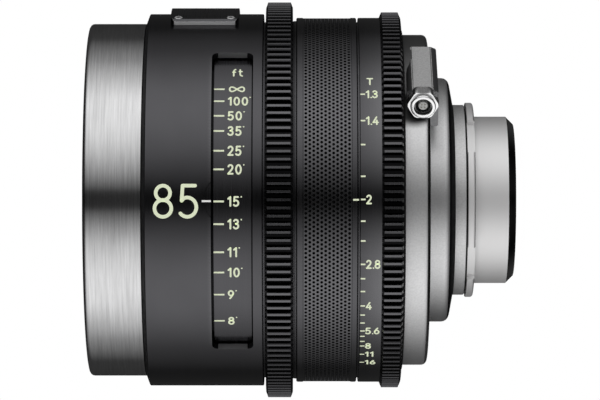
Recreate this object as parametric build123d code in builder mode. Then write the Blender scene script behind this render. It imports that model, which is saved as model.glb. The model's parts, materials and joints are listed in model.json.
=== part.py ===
from build123d import *
import os
from math import asin, cos, degrees, radians, sin, sqrt

# Cinema prime lens, 85 mm. Millimetres and degrees.
# The optical axis is X: the front glass looks along -X and the camera mount leaves along +X.
# +Z is up, where the badge plate sits. The origin is the centre of the face that rests on
# the camera. Turned pieces are half sections of (place along the axis, radius) corners.
# An angle about the axis is counted from +Y towards +Z.

os.makedirs("parts", exist_ok=True)

# Main tube, which carries everything
tube_radius = 47.5
tube_wall = 3.0
tube_bore_radius = tube_radius - tube_wall
tube_flange_height = 3.9
tube_front_flange_radius = tube_radius + tube_flange_height
tube_flange_length = 2.0
tube_shoulder_height = 1.3
tube_shoulder_radius = tube_bore_radius - tube_shoulder_height
tube_shoulder_length = 1.6

# Rings round the main tube, from the tube outwards
focus_bearing_height = 4.5
focus_sleeve_wall = 3.5
focus_sleeve_bore_radius = tube_radius + focus_bearing_height
focus_sleeve_radius = focus_sleeve_bore_radius + focus_sleeve_wall
drum_height = 2.1
drum_radius = focus_sleeve_radius + drum_height
middle_barrel_room = 0.9
middle_barrel_wall = 2.6
middle_barrel_radius = focus_sleeve_radius + middle_barrel_room + middle_barrel_wall
cover_room = 0.6
cover_wall = 2.0
cover_radius = drum_radius + cover_room + cover_wall
front_ring_step = 3.2
front_ring_radius = cover_radius - front_ring_step
iris_ring_wall = 4.0
iris_band_radius = middle_barrel_radius
iris_bore_radius = iris_band_radius - iris_ring_wall
rear_barrel_step = 5.5
rear_barrel_wall = 2.6
rear_barrel_radius = iris_band_radius - rear_barrel_step
rear_barrel_bore_radius = rear_barrel_radius - rear_barrel_wall

# Camera mount, from its seat
stub_radius = 26.99
stub_length = 13.1
stub_chamfer = 2.4
stub_bore_radius = 24.2
tab_radius = 31.5
tab_thickness = 2.4
tab_gap_radius = 29.9
side_tab_half_angle = 29.0
top_tab_half_angle = 36.0
flange_spigot_radius = 27.4
flange_spigot_length = 5.6
mount_screw_circle = 29.0
mount_screw_head_radius = 1.3
mount_screw_head_height = 1.0
mount_screw_shank_radius = 0.7
mount_screw_length = 4.4
mount_screw_spread = 17.0

# Stepped rear cone that carries the mount
groove_width = 0.5
groove_radius = 29.6
mount_ring_length = 3.6
mount_ring_radius = 30.8
step_length = 8.4
step_cone_length = 1.6
step_edge_round = 2.4
step_bore_radius = 34.0
step_wall = 5.5
step_radius = step_bore_radius + step_wall
step_spigot_bore_radius = 27.42
step_spigot_bore_length = 7.1

# Rear barrel
rear_barrel_length = 8.05
rear_wall_thickness = 2.4
rear_wall_bore_radius = step_bore_radius
rear_edge_round = 1.7
rear_screw_circle = (tube_radius + tube_bore_radius) / 2
rear_screw_head_radius = 1.5
rear_screw_head_height = 1.1
rear_screw_shank_radius = 0.8
rear_screw_length = 6.0

# Iris ring
iris_rear_gap = 0.55
iris_gear_width = 6.8
iris_band_width = 7.1
iris_gear_height = 1.0
iris_front_chamfer = 0.7
iris_rear_chamfer = 0.9

# Middle barrel
iris_front_gap = 0.7
middle_barrel_length = 18.9
middle_end_wall = 2.5
grip_depth = 0.15
grip_front_margin = 1.6
grip_rear_margin = 1.7
edge_chamfer = 0.4
thrust_ring_length = 2.5

# Focus ring
focus_rear_gap = 1.1
focus_gear_width = 8.6
focus_gear_height = 4.2
focus_gear_chamfer = 0.6
focus_gear_chamfer_height = 1.9
gear_module = 0.8
focus_teeth = round(2 * (middle_barrel_radius + focus_gear_height) / gear_module)
iris_teeth = round(2 * (iris_band_radius + iris_gear_height) / gear_module)
gear_tip_width = 0.9
gear_root_width = 1.7
gear_tooth_depth = 1.8

# Front barrel cover
cover_rear_gap = 0.7
cover_length = 37.5
cover_front_wall = 2.0
cover_corner_length = 1.5
cover_corner_height = 2.7
window_rear_rim = 3.1
window_width = 13.0
window_half_angle = 51.3
window_sill_angle = 50.5
window_corner_radius = 1.9
index_notch_height = 11.0
index_notch_reach = 2.2
index_notch_depth = 0.9

# Front ring and its baffle
front_ring_length = 18.7
front_ring_wall = 3.2
front_ring_flange = 2.0
front_edge_round = 1.6
front_screw_count = 6
front_screw_rise = 1.9
front_screw_circle = tube_radius + front_screw_rise
front_screw_shank_radius = 1.25
front_screw_head_radius = 1.9
front_screw_head_height = 1.5
front_screw_length = 5.4
baffle_front_inset = 4.2
baffle_thickness = 1.4
baffle_rake = 2.6

# Fits
running_clearance = 0.06
seat_clearance = 0.02
screw_clearance = 0.05
end_gap = 0.3

# Focus motion
focus_turn = 300.0
focus_to_infinity = 37.2
focus_forward_travel = 7.9
focus_rearward_travel = 1.15
focus_bearing_length = 4.0
carrier_length = 11.0
drive_pin_radius = 1.5
drive_pin_count = 3
drive_pin_first_angle = 90.0
drive_pin_grip = 4.2
slot_end_room = 0.3
stop_room = 2.9
stop_pin_radius = 1.5
stop_pin_angle = 270.0
stop_pin_length = 2.4
stop_margin = 0.8

# Glass: every row is one element's radius, place, edge, front bow and rear bow
glass_clearance = 0.05
glass_rim = 2.0
front_cell_length = 22.8
front_cell_inset = 0.7
front_cell_radius = tube_radius - front_cell_inset
front_cell_wall = 5.3
front_glass_radius = front_cell_radius - front_cell_wall
front_cell_reach = 10.1
front_glass_shares = (
    (1.000, 0.110, 0.219, 0.329, 0.022),
    (0.964, 0.658, 0.154, 0.272, -0.154),
    (0.928, 0.838, 0.132, 0.132, -0.175),
)
focus_carrier_height = 8.5
focus_glass_radius = tube_bore_radius - focus_carrier_height
focus_cell_length = 30.0
focus_cell_lead = 4.0
focus_glass_shares = (
    (1.000, 0.067, 0.133, -0.083, 0.167),
    (0.972, 0.533, 0.117, 0.150, 0.100),
    (0.944, 0.697, 0.267, -0.080, -0.120),
)
rear_cell_inset = 5.5
rear_cell_flange = 3.0
rear_cell_room = 1.0
rear_cell_neck_radius = step_bore_radius - rear_cell_room
rear_cell_wall = 3.0
rear_glass_radius = rear_cell_neck_radius - rear_cell_wall
rear_cell_neck_share = 0.40
rear_cell_tail_share = 0.60
rear_glass_shares = (
    (1.000, 0.064, 0.098, 0.098, -0.049),
    (0.900, 0.187, 0.074, 0.029, 0.086),
    (0.717, 0.853, 0.074, -0.049, 0.061),
)
retaining_ring_length = 1.9
retaining_ring_width = 1.7
seat_lip = 1.2
baffle_ring_length = 4.6
baffle_ring_bore_radius = 20.4

# Iris
blade_count = 9
blade_pivot_inset = 7.5
blade_pivot_radius = tube_bore_radius - blade_pivot_inset
blade_pivot_margin = 1.4
blade_width = 8.6
blade_outer_radius = blade_pivot_radius - blade_pivot_margin
blade_inner_radius = blade_outer_radius - blade_width
blade_reach_angle = 102.0
blade_tip_angle = 106.0
blade_thickness = 0.15
blade_spacing = 0.26
blade_eye_radius = 2.2
blade_arm_length = 10.0
blade_arm_width = 2.6
blade_arm_angle = -70.0
blade_ratio = 0.413
blade_pin_radius = 0.5
iris_open_turn = 34.2
iris_close_turn = 60.7
iris_plate_thickness = 1.5
iris_plate_margin = 0.4
iris_plate_bore_radius = blade_inner_radius + iris_plate_margin
drive_ring_thickness = 4.0
drive_ring_margin = 1.0
drive_ring_bore_radius = iris_plate_bore_radius + drive_ring_margin
drive_slot_depth = 1.6
drive_slot_gap = 0.1
drive_slot_overrun = 1.0
iris_pin_radius = 1.2
iris_pin_angle = 90.0
iris_pin_grip = 1.4
iris_pin_ring_grip = 2.4
iris_pin_inset = 2.0
iris_pin_slot_room = 0.2
iris_pin_slot_overrun = 1.0
iris_bearing_gap = 1.0

# Data socket on the rear barrel
socket_tilt = 30.0
boss_inset = 0.65
boss_width = 9.9
boss_pad_width = 6.2
boss_bevel_height = 0.8
boss_depth = 13.0
boss_start = -5.2
boss_end = 24.0
socket_drop = 3.2
socket_pocket_radius = 5.3
socket_thread_radius = 2.5
socket_wall = 0.3
socket_collar_radius = 4.0
socket_collar_length = 1.3
socket_mouth_radius = 2.8
socket_mouth_depth = 3.2
socket_tail = 9.0
nut_flats = 8.8
nut_length = 4.2
nut_chamfer = 0.6
contact_post_radius = 1.45
contact_post_length = 2.6
insert_flange_length = 0.6
contact_radius = 0.26
contact_circle = 0.72
contact_count = 4
contact_length = 2.9
board_length = 3.0
board_thickness = 0.7
board_half_angle = 50.0

# Badge plate on the crown of the cover
badge_length = 21.7
badge_thickness = 1.9
badge_half_angle = 22.3
badge_front_inset = 7.8
badge_edge_chamfer = 0.5
badge_screw_angle = 20.3
badge_screw_inset = 2.5
badge_screw_head_radius = 1.25
badge_screw_head_height = 0.9
badge_screw_shank_radius = 0.65
badge_screw_length = 3.2

# Places along the axis, from the seat forwards
cut_overrun = 2.0
ring_rear = -tab_thickness - groove_width
step_rear = ring_rear - mount_ring_length
step_front = step_rear - step_length
rear_barrel_front = step_front - rear_barrel_length
iris_rear = rear_barrel_front - iris_rear_gap
iris_gear_front = iris_rear - iris_gear_width
iris_front = iris_gear_front - iris_band_width
middle_rear = iris_front - iris_front_gap
middle_front = middle_rear - middle_barrel_length
focus_gear_rear = middle_front - focus_rear_gap
focus_gear_front = focus_gear_rear - focus_gear_width
cover_rear = focus_gear_front - cover_rear_gap
cover_front = cover_rear - cover_length
rim_x = cover_front - front_ring_length
tube_front = cover_front + cover_front_wall
tube_rear = step_front - rear_wall_thickness
sleeve_front = tube_front + tube_flange_length + stop_room
front_bearing_rear = sleeve_front + end_gap + focus_bearing_length
carrier_front = front_bearing_rear + end_gap + end_gap + focus_forward_travel
drive_pin_x = carrier_front + carrier_length / 2
focus_cell_front = drive_pin_x - focus_cell_lead
iris_pin_x = iris_front + iris_pin_inset
drive_ring_front = iris_pin_x - drive_ring_thickness / 2
drive_ring_rear = drive_ring_front + drive_ring_thickness
rear_cell_front = drive_ring_rear + end_gap
rear_cell_rear = stub_length - rear_cell_inset
rear_cell_length = rear_cell_rear - rear_cell_front
blade_stack = blade_count * blade_spacing
iris_plate_rear = drive_ring_front - end_gap - blade_stack
iris_plate_front = iris_plate_rear - iris_plate_thickness
window_rear = cover_rear - window_rear_rim
window_front = window_rear - window_width


def half_section(*corners):
    """A closed outline of (place along the axis, radius) corners, ready to turn about X."""
    with BuildSketch() as section:
        with BuildLine():
            Polyline(*corners, close=True)
        make_face()
    return section.sketch


def band(front, rear, inner, outer):
    """The half section of a plain ring between two places along the axis."""
    return half_section((front, inner), (rear, inner), (rear, outer), (front, outer))


def radial_plane(place, radius, angle):
    """A plane that faces straight out from the axis, its x along the axis."""
    outward = (0, cos(radians(angle)), sin(radians(angle)))
    origin = (place, radius * outward[1], radius * outward[2])
    return Plane(origin=origin, x_dir=(1, 0, 0), z_dir=outward)


def axis_plane(angle):
    """The plane through the axis whose y points out at this angle."""
    return Plane.XY.rotated((angle, 0, 0))


def bow_depth(bow, reach, height):
    """How far a spherical face of this bow has fallen away at a height above the axis."""
    curve_radius = (reach**2 + bow**2) / (2 * abs(bow))
    depth = curve_radius - sqrt(curve_radius**2 - height**2)
    return depth if bow > 0 else -depth


def glass_section(radius, front, rear, front_bow, rear_bow):
    """A lens element's half section: two spherical faces and a flat ground rim."""
    reach = radius - glass_rim
    front_middle = (front - front_bow + bow_depth(front_bow, reach, reach / 2), reach / 2)
    rear_middle = (rear + rear_bow - bow_depth(rear_bow, reach, reach / 2), reach / 2)
    with BuildSketch() as section:
        with BuildLine():
            ThreePointArc((front - front_bow, 0), front_middle, (front, reach))
            Polyline((front, reach), (front, radius), (rear, radius), (rear, reach))
            ThreePointArc((rear, reach), rear_middle, (rear + rear_bow, 0))
            Line((rear + rear_bow, 0), (front - front_bow, 0))
        make_face()
    return section.sketch


def element_rows(shares, radius, front, length):
    """Each element's radius, front, rear, front bow and rear bow in real sizes."""
    rows = []
    for radius_share, place_share, edge_share, front_share, rear_share in shares:
        edge_front = front + place_share * length
        edge_rear = edge_front + edge_share * length
        rows.append((radius * radius_share, edge_front, edge_rear,
                     length * front_share, length * rear_share))
    return rows


def stepped_bore(rows, front, rear):
    """The bore corners of a cell that seats each element on the step behind it."""
    corners = [(front, rows[0][0] + glass_clearance)]
    for element, following in zip(rows, rows[1:]):
        corners.append((element[2], element[0] + glass_clearance))
        corners.append((element[2], following[0] + glass_clearance))
    last = rows[-1]
    corners.append((last[2], last[0] + glass_clearance))
    corners.append((last[2], last[0] - seat_lip))
    corners.append((rear, last[0] - seat_lip))
    return corners


def gear_outline(teeth, tip_radius):
    """The corners of an external gear's rim, four to a tooth."""
    root_radius = tip_radius - gear_tooth_depth
    tip_half = degrees(gear_tip_width / 2 / tip_radius)
    root_half = degrees(gear_root_width / 2 / root_radius)
    corners = []
    for tooth in range(teeth):
        middle = 360 * tooth / teeth
        for radius, turn in ((root_radius, -root_half), (tip_radius, -tip_half),
                             (tip_radius, tip_half), (root_radius, root_half)):
            angle = radians(middle + turn)
            corners.append((radius * cos(angle), radius * sin(angle)))
    return corners


# Camera mount: four tabs round the seat, a spigot ahead of them and the stub behind
with BuildPart() as mount_flange:
    revolve(half_section(
        (-tab_thickness - flange_spigot_length, stub_bore_radius),
        (stub_length, stub_bore_radius),
        (stub_length, stub_radius - stub_chamfer),
        (stub_length - stub_chamfer, stub_radius),
        (0, stub_radius),
        (0, tab_radius),
        (-tab_thickness, tab_radius),
        (-tab_thickness, flange_spigot_radius),
        (-tab_thickness - flange_spigot_length, flange_spigot_radius)), axis=Axis.X)
    gap_angle = 180 - 90 - side_tab_half_angle - top_tab_half_angle
    for gap_start in (side_tab_half_angle, 90 + top_tab_half_angle,
                      180 + side_tab_half_angle, 270 + top_tab_half_angle):
        with BuildSketch(axis_plane(gap_start)) as gap:
            with Locations((-tab_thickness / 2, tab_gap_radius)):
                Rectangle(2 * tab_thickness, 2 * (tab_radius - tab_gap_radius),
                          align=(Align.CENTER, Align.MIN))
        revolve(axis=Axis.X, revolution_arc=gap_angle, mode=Mode.SUBTRACT)
    mount_screw_angles = [side + spread for side in (0, 90, 180, 270)
                          for spread in (-mount_screw_spread, mount_screw_spread)]
    for angle in mount_screw_angles:
        seat_hole = (0, mount_screw_circle * cos(radians(angle)),
                     mount_screw_circle * sin(radians(angle)))
        with BuildSketch(Plane(origin=seat_hole, z_dir=(1, 0, 0))):
            Circle(mount_screw_head_radius + screw_clearance)
        extrude(amount=-mount_screw_head_height, mode=Mode.SUBTRACT)
        with BuildSketch(Plane(origin=seat_hole, z_dir=(1, 0, 0))):
            Circle(mount_screw_shank_radius + screw_clearance)
        extrude(amount=-tab_thickness - cut_overrun, mode=Mode.SUBTRACT)
mount_flange.part.label = "mount_flange"
export_step(mount_flange.part, "parts/mount_flange.step")

with BuildPart() as mount_screws:
    for angle in mount_screw_angles:
        seat_hole = (0, mount_screw_circle * cos(radians(angle)),
                     mount_screw_circle * sin(radians(angle)))
        with BuildSketch(Plane(origin=seat_hole, z_dir=(1, 0, 0))):
            Circle(mount_screw_head_radius)
        extrude(amount=-mount_screw_head_height)
        with BuildSketch(Plane(origin=seat_hole, z_dir=(1, 0, 0))):
            Circle(mount_screw_shank_radius)
        extrude(amount=-mount_screw_length)
mount_screws.part.label = "mount_screws"
export_step(mount_screws.part, "parts/mount_screws.step")

# Stepped rear cone between the rear barrel and the mount
with BuildPart() as mount_step_ring:
    revolve(half_section(
        (step_front, step_bore_radius),
        (step_rear + mount_ring_length - step_spigot_bore_length, step_bore_radius),
        (step_rear + mount_ring_length - step_spigot_bore_length, step_spigot_bore_radius),
        (-tab_thickness, step_spigot_bore_radius),
        (-tab_thickness, groove_radius),
        (ring_rear, groove_radius),
        (ring_rear, mount_ring_radius),
        (step_rear, mount_ring_radius),
        (step_rear - step_cone_length, step_radius),
        (step_front, step_radius)), axis=Axis.X)
    shoulder = mount_step_ring.edges().filter_by(GeomType.CIRCLE).group_by(SortBy.RADIUS)[-1]
    fillet(shoulder.sort_by(Axis.X)[-1], radius=step_edge_round)
    for angle in mount_screw_angles:
        seat_hole = (-tab_thickness, mount_screw_circle * cos(radians(angle)),
                     mount_screw_circle * sin(radians(angle)))
        with BuildSketch(Plane(origin=seat_hole, z_dir=(1, 0, 0))):
            Circle(mount_screw_shank_radius + screw_clearance)
        extrude(amount=-mount_screw_length + tab_thickness - screw_clearance,
                mode=Mode.SUBTRACT)
mount_step_ring.part.label = "mount_step_ring"
export_step(mount_step_ring.part, "parts/mount_step_ring.step")

# Rear barrel: a cup with a flat-topped boss that holds the data socket
pad_angle = 90 + socket_tilt
pad_direction = (0, cos(radians(pad_angle)), sin(radians(pad_angle)))
boss_direction = (0, cos(radians(pad_angle + 90)), sin(radians(pad_angle + 90)))
boss_x = rear_barrel_front + boss_inset + boss_width / 2


def boss_plane(along, drop):
    """The plane square to the socket, its y towards the pad, at a place down the boss."""
    height = rear_barrel_radius - drop
    origin = (boss_x, height * pad_direction[1] + along * boss_direction[1],
              height * pad_direction[2] + along * boss_direction[2])
    return Plane(origin=origin, x_dir=(1, 0, 0), z_dir=boss_direction)


rear_screw_angles = [45 + 60 * number for number in range(6)]
with BuildPart() as rear_barrel:
    revolve(band(rear_barrel_front, step_front, rear_wall_bore_radius, rear_barrel_radius),
            axis=Axis.X)
    rim = rear_barrel.edges().filter_by(GeomType.CIRCLE).group_by(SortBy.RADIUS)[-1]
    fillet(rim.sort_by(Axis.X)[-1], radius=rear_edge_round)
    with BuildSketch(boss_plane(boss_start, 0)):
        with BuildLine():
            Polyline(
                (-boss_pad_width / 2, 0), (boss_pad_width / 2, 0),
                (boss_width / 2, -boss_bevel_height), (boss_width / 2, -boss_depth),
                (-boss_width / 2, -boss_depth), (-boss_width / 2, -boss_bevel_height),
                close=True)
        make_face()
    extrude(amount=boss_end - boss_start)
    revolve(band(rear_barrel_front - cut_overrun, tube_rear, 0, rear_barrel_bore_radius),
            axis=Axis.X, mode=Mode.SUBTRACT)
    with BuildSketch(boss_plane(boss_end, socket_drop)):
        Circle(socket_pocket_radius)
    extrude(amount=boss_depth, mode=Mode.SUBTRACT)
    with BuildSketch(boss_plane(boss_end, socket_drop)):
        Circle(socket_thread_radius + screw_clearance)
    extrude(amount=-socket_tail - screw_clearance, mode=Mode.SUBTRACT)
    for angle in rear_screw_angles:
        hole = (step_front, rear_screw_circle * cos(radians(angle)),
                rear_screw_circle * sin(radians(angle)))
        with BuildSketch(Plane(origin=hole, z_dir=(1, 0, 0))):
            Circle(rear_screw_head_radius + screw_clearance)
        extrude(amount=-rear_screw_head_height, mode=Mode.SUBTRACT)
        with BuildSketch(Plane(origin=hole, z_dir=(1, 0, 0))):
            Circle(rear_screw_shank_radius + screw_clearance)
        extrude(amount=-rear_wall_thickness - cut_overrun, mode=Mode.SUBTRACT)
rear_barrel.part.label = "rear_barrel"
export_step(rear_barrel.part, "parts/rear_barrel.step")

with BuildPart() as rear_barrel_screws:
    for angle in rear_screw_angles:
        hole = (step_front, rear_screw_circle * cos(radians(angle)),
                rear_screw_circle * sin(radians(angle)))
        with BuildSketch(Plane(origin=hole, z_dir=(1, 0, 0))):
            Circle(rear_screw_head_radius)
        extrude(amount=-rear_screw_head_height)
        with BuildSketch(Plane(origin=hole, z_dir=(1, 0, 0))):
            Circle(rear_screw_shank_radius)
        extrude(amount=-rear_screw_length)
rear_barrel_screws.part.label = "rear_barrel_screws"
export_step(rear_barrel_screws.part, "parts/rear_barrel_screws.step")

# Data socket: a threaded shell, its nut, a black insert and a post with four contacts
mouth_place = boss_end + nut_length + socket_collar_length
with BuildPart() as socket_shell:
    with BuildSketch(boss_plane(boss_end - socket_tail, socket_drop)):
        Circle(socket_thread_radius)
    extrude(amount=socket_tail + nut_length)
    with BuildSketch(boss_plane(boss_end + nut_length, socket_drop)):
        Circle(socket_collar_radius)
    extrude(amount=socket_collar_length)
    with BuildSketch(boss_plane(mouth_place, socket_drop)):
        Circle(socket_mouth_radius)
    extrude(amount=-socket_collar_length + socket_wall, mode=Mode.SUBTRACT)
    with BuildSketch(boss_plane(mouth_place, socket_drop)):
        Circle(socket_thread_radius - socket_wall)
    extrude(amount=-socket_tail - nut_length - socket_collar_length, mode=Mode.SUBTRACT)
socket_shell.part.label = "socket_shell"
export_step(socket_shell.part, "parts/socket_shell.step")

with BuildPart() as socket_nut:
    with BuildSketch(boss_plane(boss_end, socket_drop)):
        RegularPolygon(nut_flats / 2, 6, major_radius=False, rotation=30)
        Circle(socket_thread_radius + screw_clearance, mode=Mode.SUBTRACT)
    extrude(amount=nut_length)
    nut_face = socket_nut.faces().sort_by(Axis(boss_plane(boss_end, 0).origin, boss_direction))[-1]
    chamfer(nut_face.outer_wire().edges(), length=nut_chamfer)
socket_nut.part.label = "socket_nut"
export_step(socket_nut.part, "parts/socket_nut.step")

insert_radius = socket_thread_radius - socket_wall - seat_clearance
insert_front = mouth_place - socket_mouth_depth
with BuildPart() as socket_insert:
    with BuildSketch(boss_plane(boss_end - socket_tail, socket_drop)):
        Circle(insert_radius)
    extrude(amount=insert_front - boss_end + socket_tail)
socket_insert.part.label = "socket_insert"
export_step(socket_insert.part, "parts/socket_insert.step")

with BuildPart() as contact_post:
    with BuildSketch(boss_plane(insert_front, socket_drop)):
        Circle(contact_post_radius)
        with PolarLocations(contact_circle, contact_count, start_angle=45):
            Circle(contact_radius, mode=Mode.SUBTRACT)
    extrude(amount=contact_post_length)
contact_post.part.label = "contact_post"
export_step(contact_post.part, "parts/contact_post.step")

with BuildPart() as socket_contacts:
    with BuildSketch(boss_plane(insert_front, socket_drop)):
        with PolarLocations(contact_circle, contact_count, start_angle=45):
            Circle(contact_radius - seat_clearance)
    extrude(amount=contact_length)
socket_contacts.part.label = "socket_contacts"
export_step(socket_contacts.part, "parts/socket_contacts.step")

# Flexible circuit that wraps the main tube under the rear barrel
with BuildPart() as sensor_board:
    board_rear = tube_rear - end_gap
    with BuildSketch(axis_plane(pad_angle - board_half_angle)):
        with Locations((board_rear, tube_radius + seat_clearance)):
            Rectangle(board_length, board_thickness, align=(Align.MAX, Align.MIN))
    revolve(axis=Axis.X, revolution_arc=2 * board_half_angle)
sensor_board.part.label = "sensor_board"
export_step(sensor_board.part, "parts/sensor_board.step")

# Main tube: the spine of the lens, slotted for the focus pins and the iris pin
slot_front = drive_pin_x - focus_forward_travel - drive_pin_radius - slot_end_room
slot_rear = drive_pin_x + focus_rearward_travel + drive_pin_radius + slot_end_room
front_screw_angles = [30 + 360 * number / front_screw_count
                      for number in range(front_screw_count)]
drive_pin_angles = [drive_pin_first_angle + 360 * number / drive_pin_count
                    for number in range(drive_pin_count)]
with BuildPart() as main_tube:
    rear_flange_rear = rear_barrel_front + tube_flange_length
    revolve(half_section(
        (tube_front, tube_bore_radius),
        (iris_plate_front - tube_shoulder_length, tube_bore_radius),
        (iris_plate_front - tube_shoulder_length, tube_shoulder_radius),
        (iris_plate_front, tube_shoulder_radius),
        (iris_plate_front, tube_bore_radius),
        (tube_rear, tube_bore_radius),
        (tube_rear, tube_radius),
        (rear_flange_rear, tube_radius),
        (rear_flange_rear, rear_barrel_bore_radius - seat_clearance),
        (rear_barrel_front, rear_barrel_bore_radius - seat_clearance),
        (rear_barrel_front, tube_radius),
        (tube_front + tube_flange_length, tube_radius),
        (tube_front + tube_flange_length, tube_front_flange_radius),
        (tube_front, tube_front_flange_radius)), axis=Axis.X)
    for angle in drive_pin_angles:
        with BuildSketch(radial_plane((slot_front + slot_rear) / 2, 0, angle)):
            SlotOverall(slot_rear - slot_front, 2 * (drive_pin_radius + running_clearance))
        extrude(amount=tube_radius + cut_overrun, mode=Mode.SUBTRACT)
    slot_half_width = iris_pin_radius + iris_pin_slot_room
    slot_half_angle = degrees(asin(slot_half_width / tube_radius)) + iris_pin_slot_overrun
    with BuildSketch(axis_plane(iris_pin_angle - iris_close_turn - slot_half_angle)):
        with Locations((iris_pin_x, tube_radius)):
            Rectangle(2 * slot_half_width, 2 * (tube_radius - tube_bore_radius + cut_overrun))
    revolve(axis=Axis.X, mode=Mode.SUBTRACT,
            revolution_arc=iris_close_turn + iris_open_turn + 2 * slot_half_angle)
    for angle in front_screw_angles:
        hole = (tube_front, front_screw_circle * cos(radians(angle)),
                front_screw_circle * sin(radians(angle)))
        with BuildSketch(Plane(origin=hole, z_dir=(1, 0, 0))):
            Circle(front_screw_shank_radius + screw_clearance)
        extrude(amount=tube_flange_length + cut_overrun, mode=Mode.SUBTRACT)
    for angle in rear_screw_angles:
        hole = (tube_rear, rear_screw_circle * cos(radians(angle)),
                rear_screw_circle * sin(radians(angle)))
        with BuildSketch(Plane(origin=hole, z_dir=(-1, 0, 0))):
            Circle(rear_screw_shank_radius + screw_clearance)
        extrude(amount=rear_screw_length - rear_wall_thickness + screw_clearance,
                mode=Mode.SUBTRACT)
main_tube.part.label = "main_tube"
export_step(main_tube.part, "parts/main_tube.step")

# Front barrel cover with a scale window on each side
sides = (0, 180)
with BuildPart() as barrel_cover:
    revolve(half_section(
        (cover_front, tube_bore_radius + seat_clearance),
        (tube_front, tube_bore_radius + seat_clearance),
        (tube_front, cover_radius - cover_wall),
        (cover_rear, cover_radius - cover_wall),
        (cover_rear, cover_radius),
        (cover_front + cover_corner_length, cover_radius),
        (cover_front, cover_radius - cover_corner_height)), axis=Axis.X)
    corner_angle = degrees(window_corner_radius / cover_radius)
    straight_angle = window_half_angle - corner_angle
    window_middle = (window_front + window_rear) / 2
    for side in sides:
        for width, reach in ((window_width, straight_angle),
                             (window_width - 2 * window_corner_radius, window_sill_angle)):
            with BuildSketch(axis_plane(side - reach)):
                with Locations((window_middle, cover_radius)):
                    Rectangle(width, 2 * (cover_wall + cut_overrun))
            revolve(axis=Axis.X, revolution_arc=2 * reach, mode=Mode.SUBTRACT)
        for corner_x in (window_front + window_corner_radius, window_rear - window_corner_radius):
            for corner_turn in (-straight_angle, straight_angle):
                corner = radial_plane(corner_x, cover_radius + cut_overrun, side + corner_turn)
                with BuildSketch(corner):
                    Circle(window_corner_radius)
                extrude(amount=-cover_wall - 2 * cut_overrun, mode=Mode.SUBTRACT)
        with BuildSketch(radial_plane(window_front, cover_radius - index_notch_depth, side)):
            with BuildLine():
                ThreePointArc((0, -index_notch_height / 2), (-index_notch_reach, 0),
                              (0, index_notch_height / 2))
                Line((0, index_notch_height / 2), (0, -index_notch_height / 2))
            make_face()
        extrude(amount=cut_overrun, mode=Mode.SUBTRACT)
    for angle in front_screw_angles:
        hole = (cover_front, front_screw_circle * cos(radians(angle)),
                front_screw_circle * sin(radians(angle)))
        with BuildSketch(Plane(origin=hole, z_dir=(1, 0, 0))):
            Circle(front_screw_shank_radius + screw_clearance)
        extrude(amount=cover_front_wall, mode=Mode.SUBTRACT)
    badge_screw_places = [
        (x, 90 + turn)
        for x in (cover_front + badge_front_inset + badge_screw_inset,
                  cover_front + badge_front_inset + badge_length - badge_screw_inset)
        for turn in (-badge_screw_angle, badge_screw_angle)]
    badge_top_radius = cover_radius + badge_thickness
    for place, angle in badge_screw_places:
        with BuildSketch(radial_plane(place, badge_top_radius, angle)):
            Circle(badge_screw_shank_radius + screw_clearance)
        extrude(amount=-badge_screw_length - screw_clearance, mode=Mode.SUBTRACT)
barrel_cover.part.label = "barrel_cover"
export_step(barrel_cover.part, "parts/barrel_cover.step")

# Badge plate, left bare, held by four screws
with BuildPart() as badge_plate:
    badge_middle = cover_front + badge_front_inset + badge_length / 2
    with BuildSketch(axis_plane(90 - badge_half_angle)):
        with Locations((badge_middle, cover_radius + seat_clearance)):
            Rectangle(badge_length, badge_thickness - seat_clearance,
                      align=(Align.CENTER, Align.MIN))
    revolve(axis=Axis.X, revolution_arc=2 * badge_half_angle)
    crown = badge_plate.faces().filter_by(GeomType.CYLINDER).sort_by(SortBy.AREA)[-1]
    chamfer(crown.outer_wire().edges(), length=badge_edge_chamfer)
    for place, angle in badge_screw_places:
        with BuildSketch(radial_plane(place, badge_top_radius, angle)):
            Circle(badge_screw_head_radius + screw_clearance)
        extrude(amount=-badge_screw_head_height, mode=Mode.SUBTRACT)
        with BuildSketch(radial_plane(place, badge_top_radius, angle)):
            Circle(badge_screw_shank_radius + screw_clearance)
        extrude(amount=-badge_screw_length, mode=Mode.SUBTRACT)
badge_plate.part.label = "badge_plate"
export_step(badge_plate.part, "parts/badge_plate.step")

with BuildPart() as badge_screws:
    for place, angle in badge_screw_places:
        with BuildSketch(radial_plane(place, badge_top_radius - screw_clearance, angle)):
            Circle(badge_screw_head_radius)
        extrude(amount=-badge_screw_head_height + screw_clearance)
        with BuildSketch(radial_plane(place, badge_top_radius - screw_clearance, angle)):
            Circle(badge_screw_shank_radius)
        extrude(amount=-badge_screw_length + screw_clearance)
badge_screws.part.label = "badge_screws"
export_step(badge_screws.part, "parts/badge_screws.step")

# Brushed front ring, its inner baffle and the screws that hold it to the main tube
front_ring_bore = front_ring_radius - front_ring_wall
with BuildPart() as front_ring:
    revolve(half_section(
        (rim_x, front_ring_bore),
        (cover_front - front_ring_flange, front_ring_bore),
        (cover_front - front_ring_flange, front_cell_radius + seat_clearance),
        (cover_front, front_cell_radius + seat_clearance),
        (cover_front, front_ring_radius),
        (rim_x, front_ring_radius)), axis=Axis.X)
    rim = front_ring.edges().filter_by(GeomType.CIRCLE).group_by(SortBy.RADIUS)[-1]
    fillet(rim.sort_by(Axis.X)[0], radius=front_edge_round)
    for angle in front_screw_angles:
        hole = (cover_front, front_screw_circle * cos(radians(angle)),
                front_screw_circle * sin(radians(angle)))
        with BuildSketch(Plane(origin=hole, z_dir=(-1, 0, 0))):
            Circle(front_screw_shank_radius + screw_clearance)
        extrude(amount=front_ring_flange, mode=Mode.SUBTRACT)
front_ring.part.label = "front_ring"
export_step(front_ring.part, "parts/front_ring.step")

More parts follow.
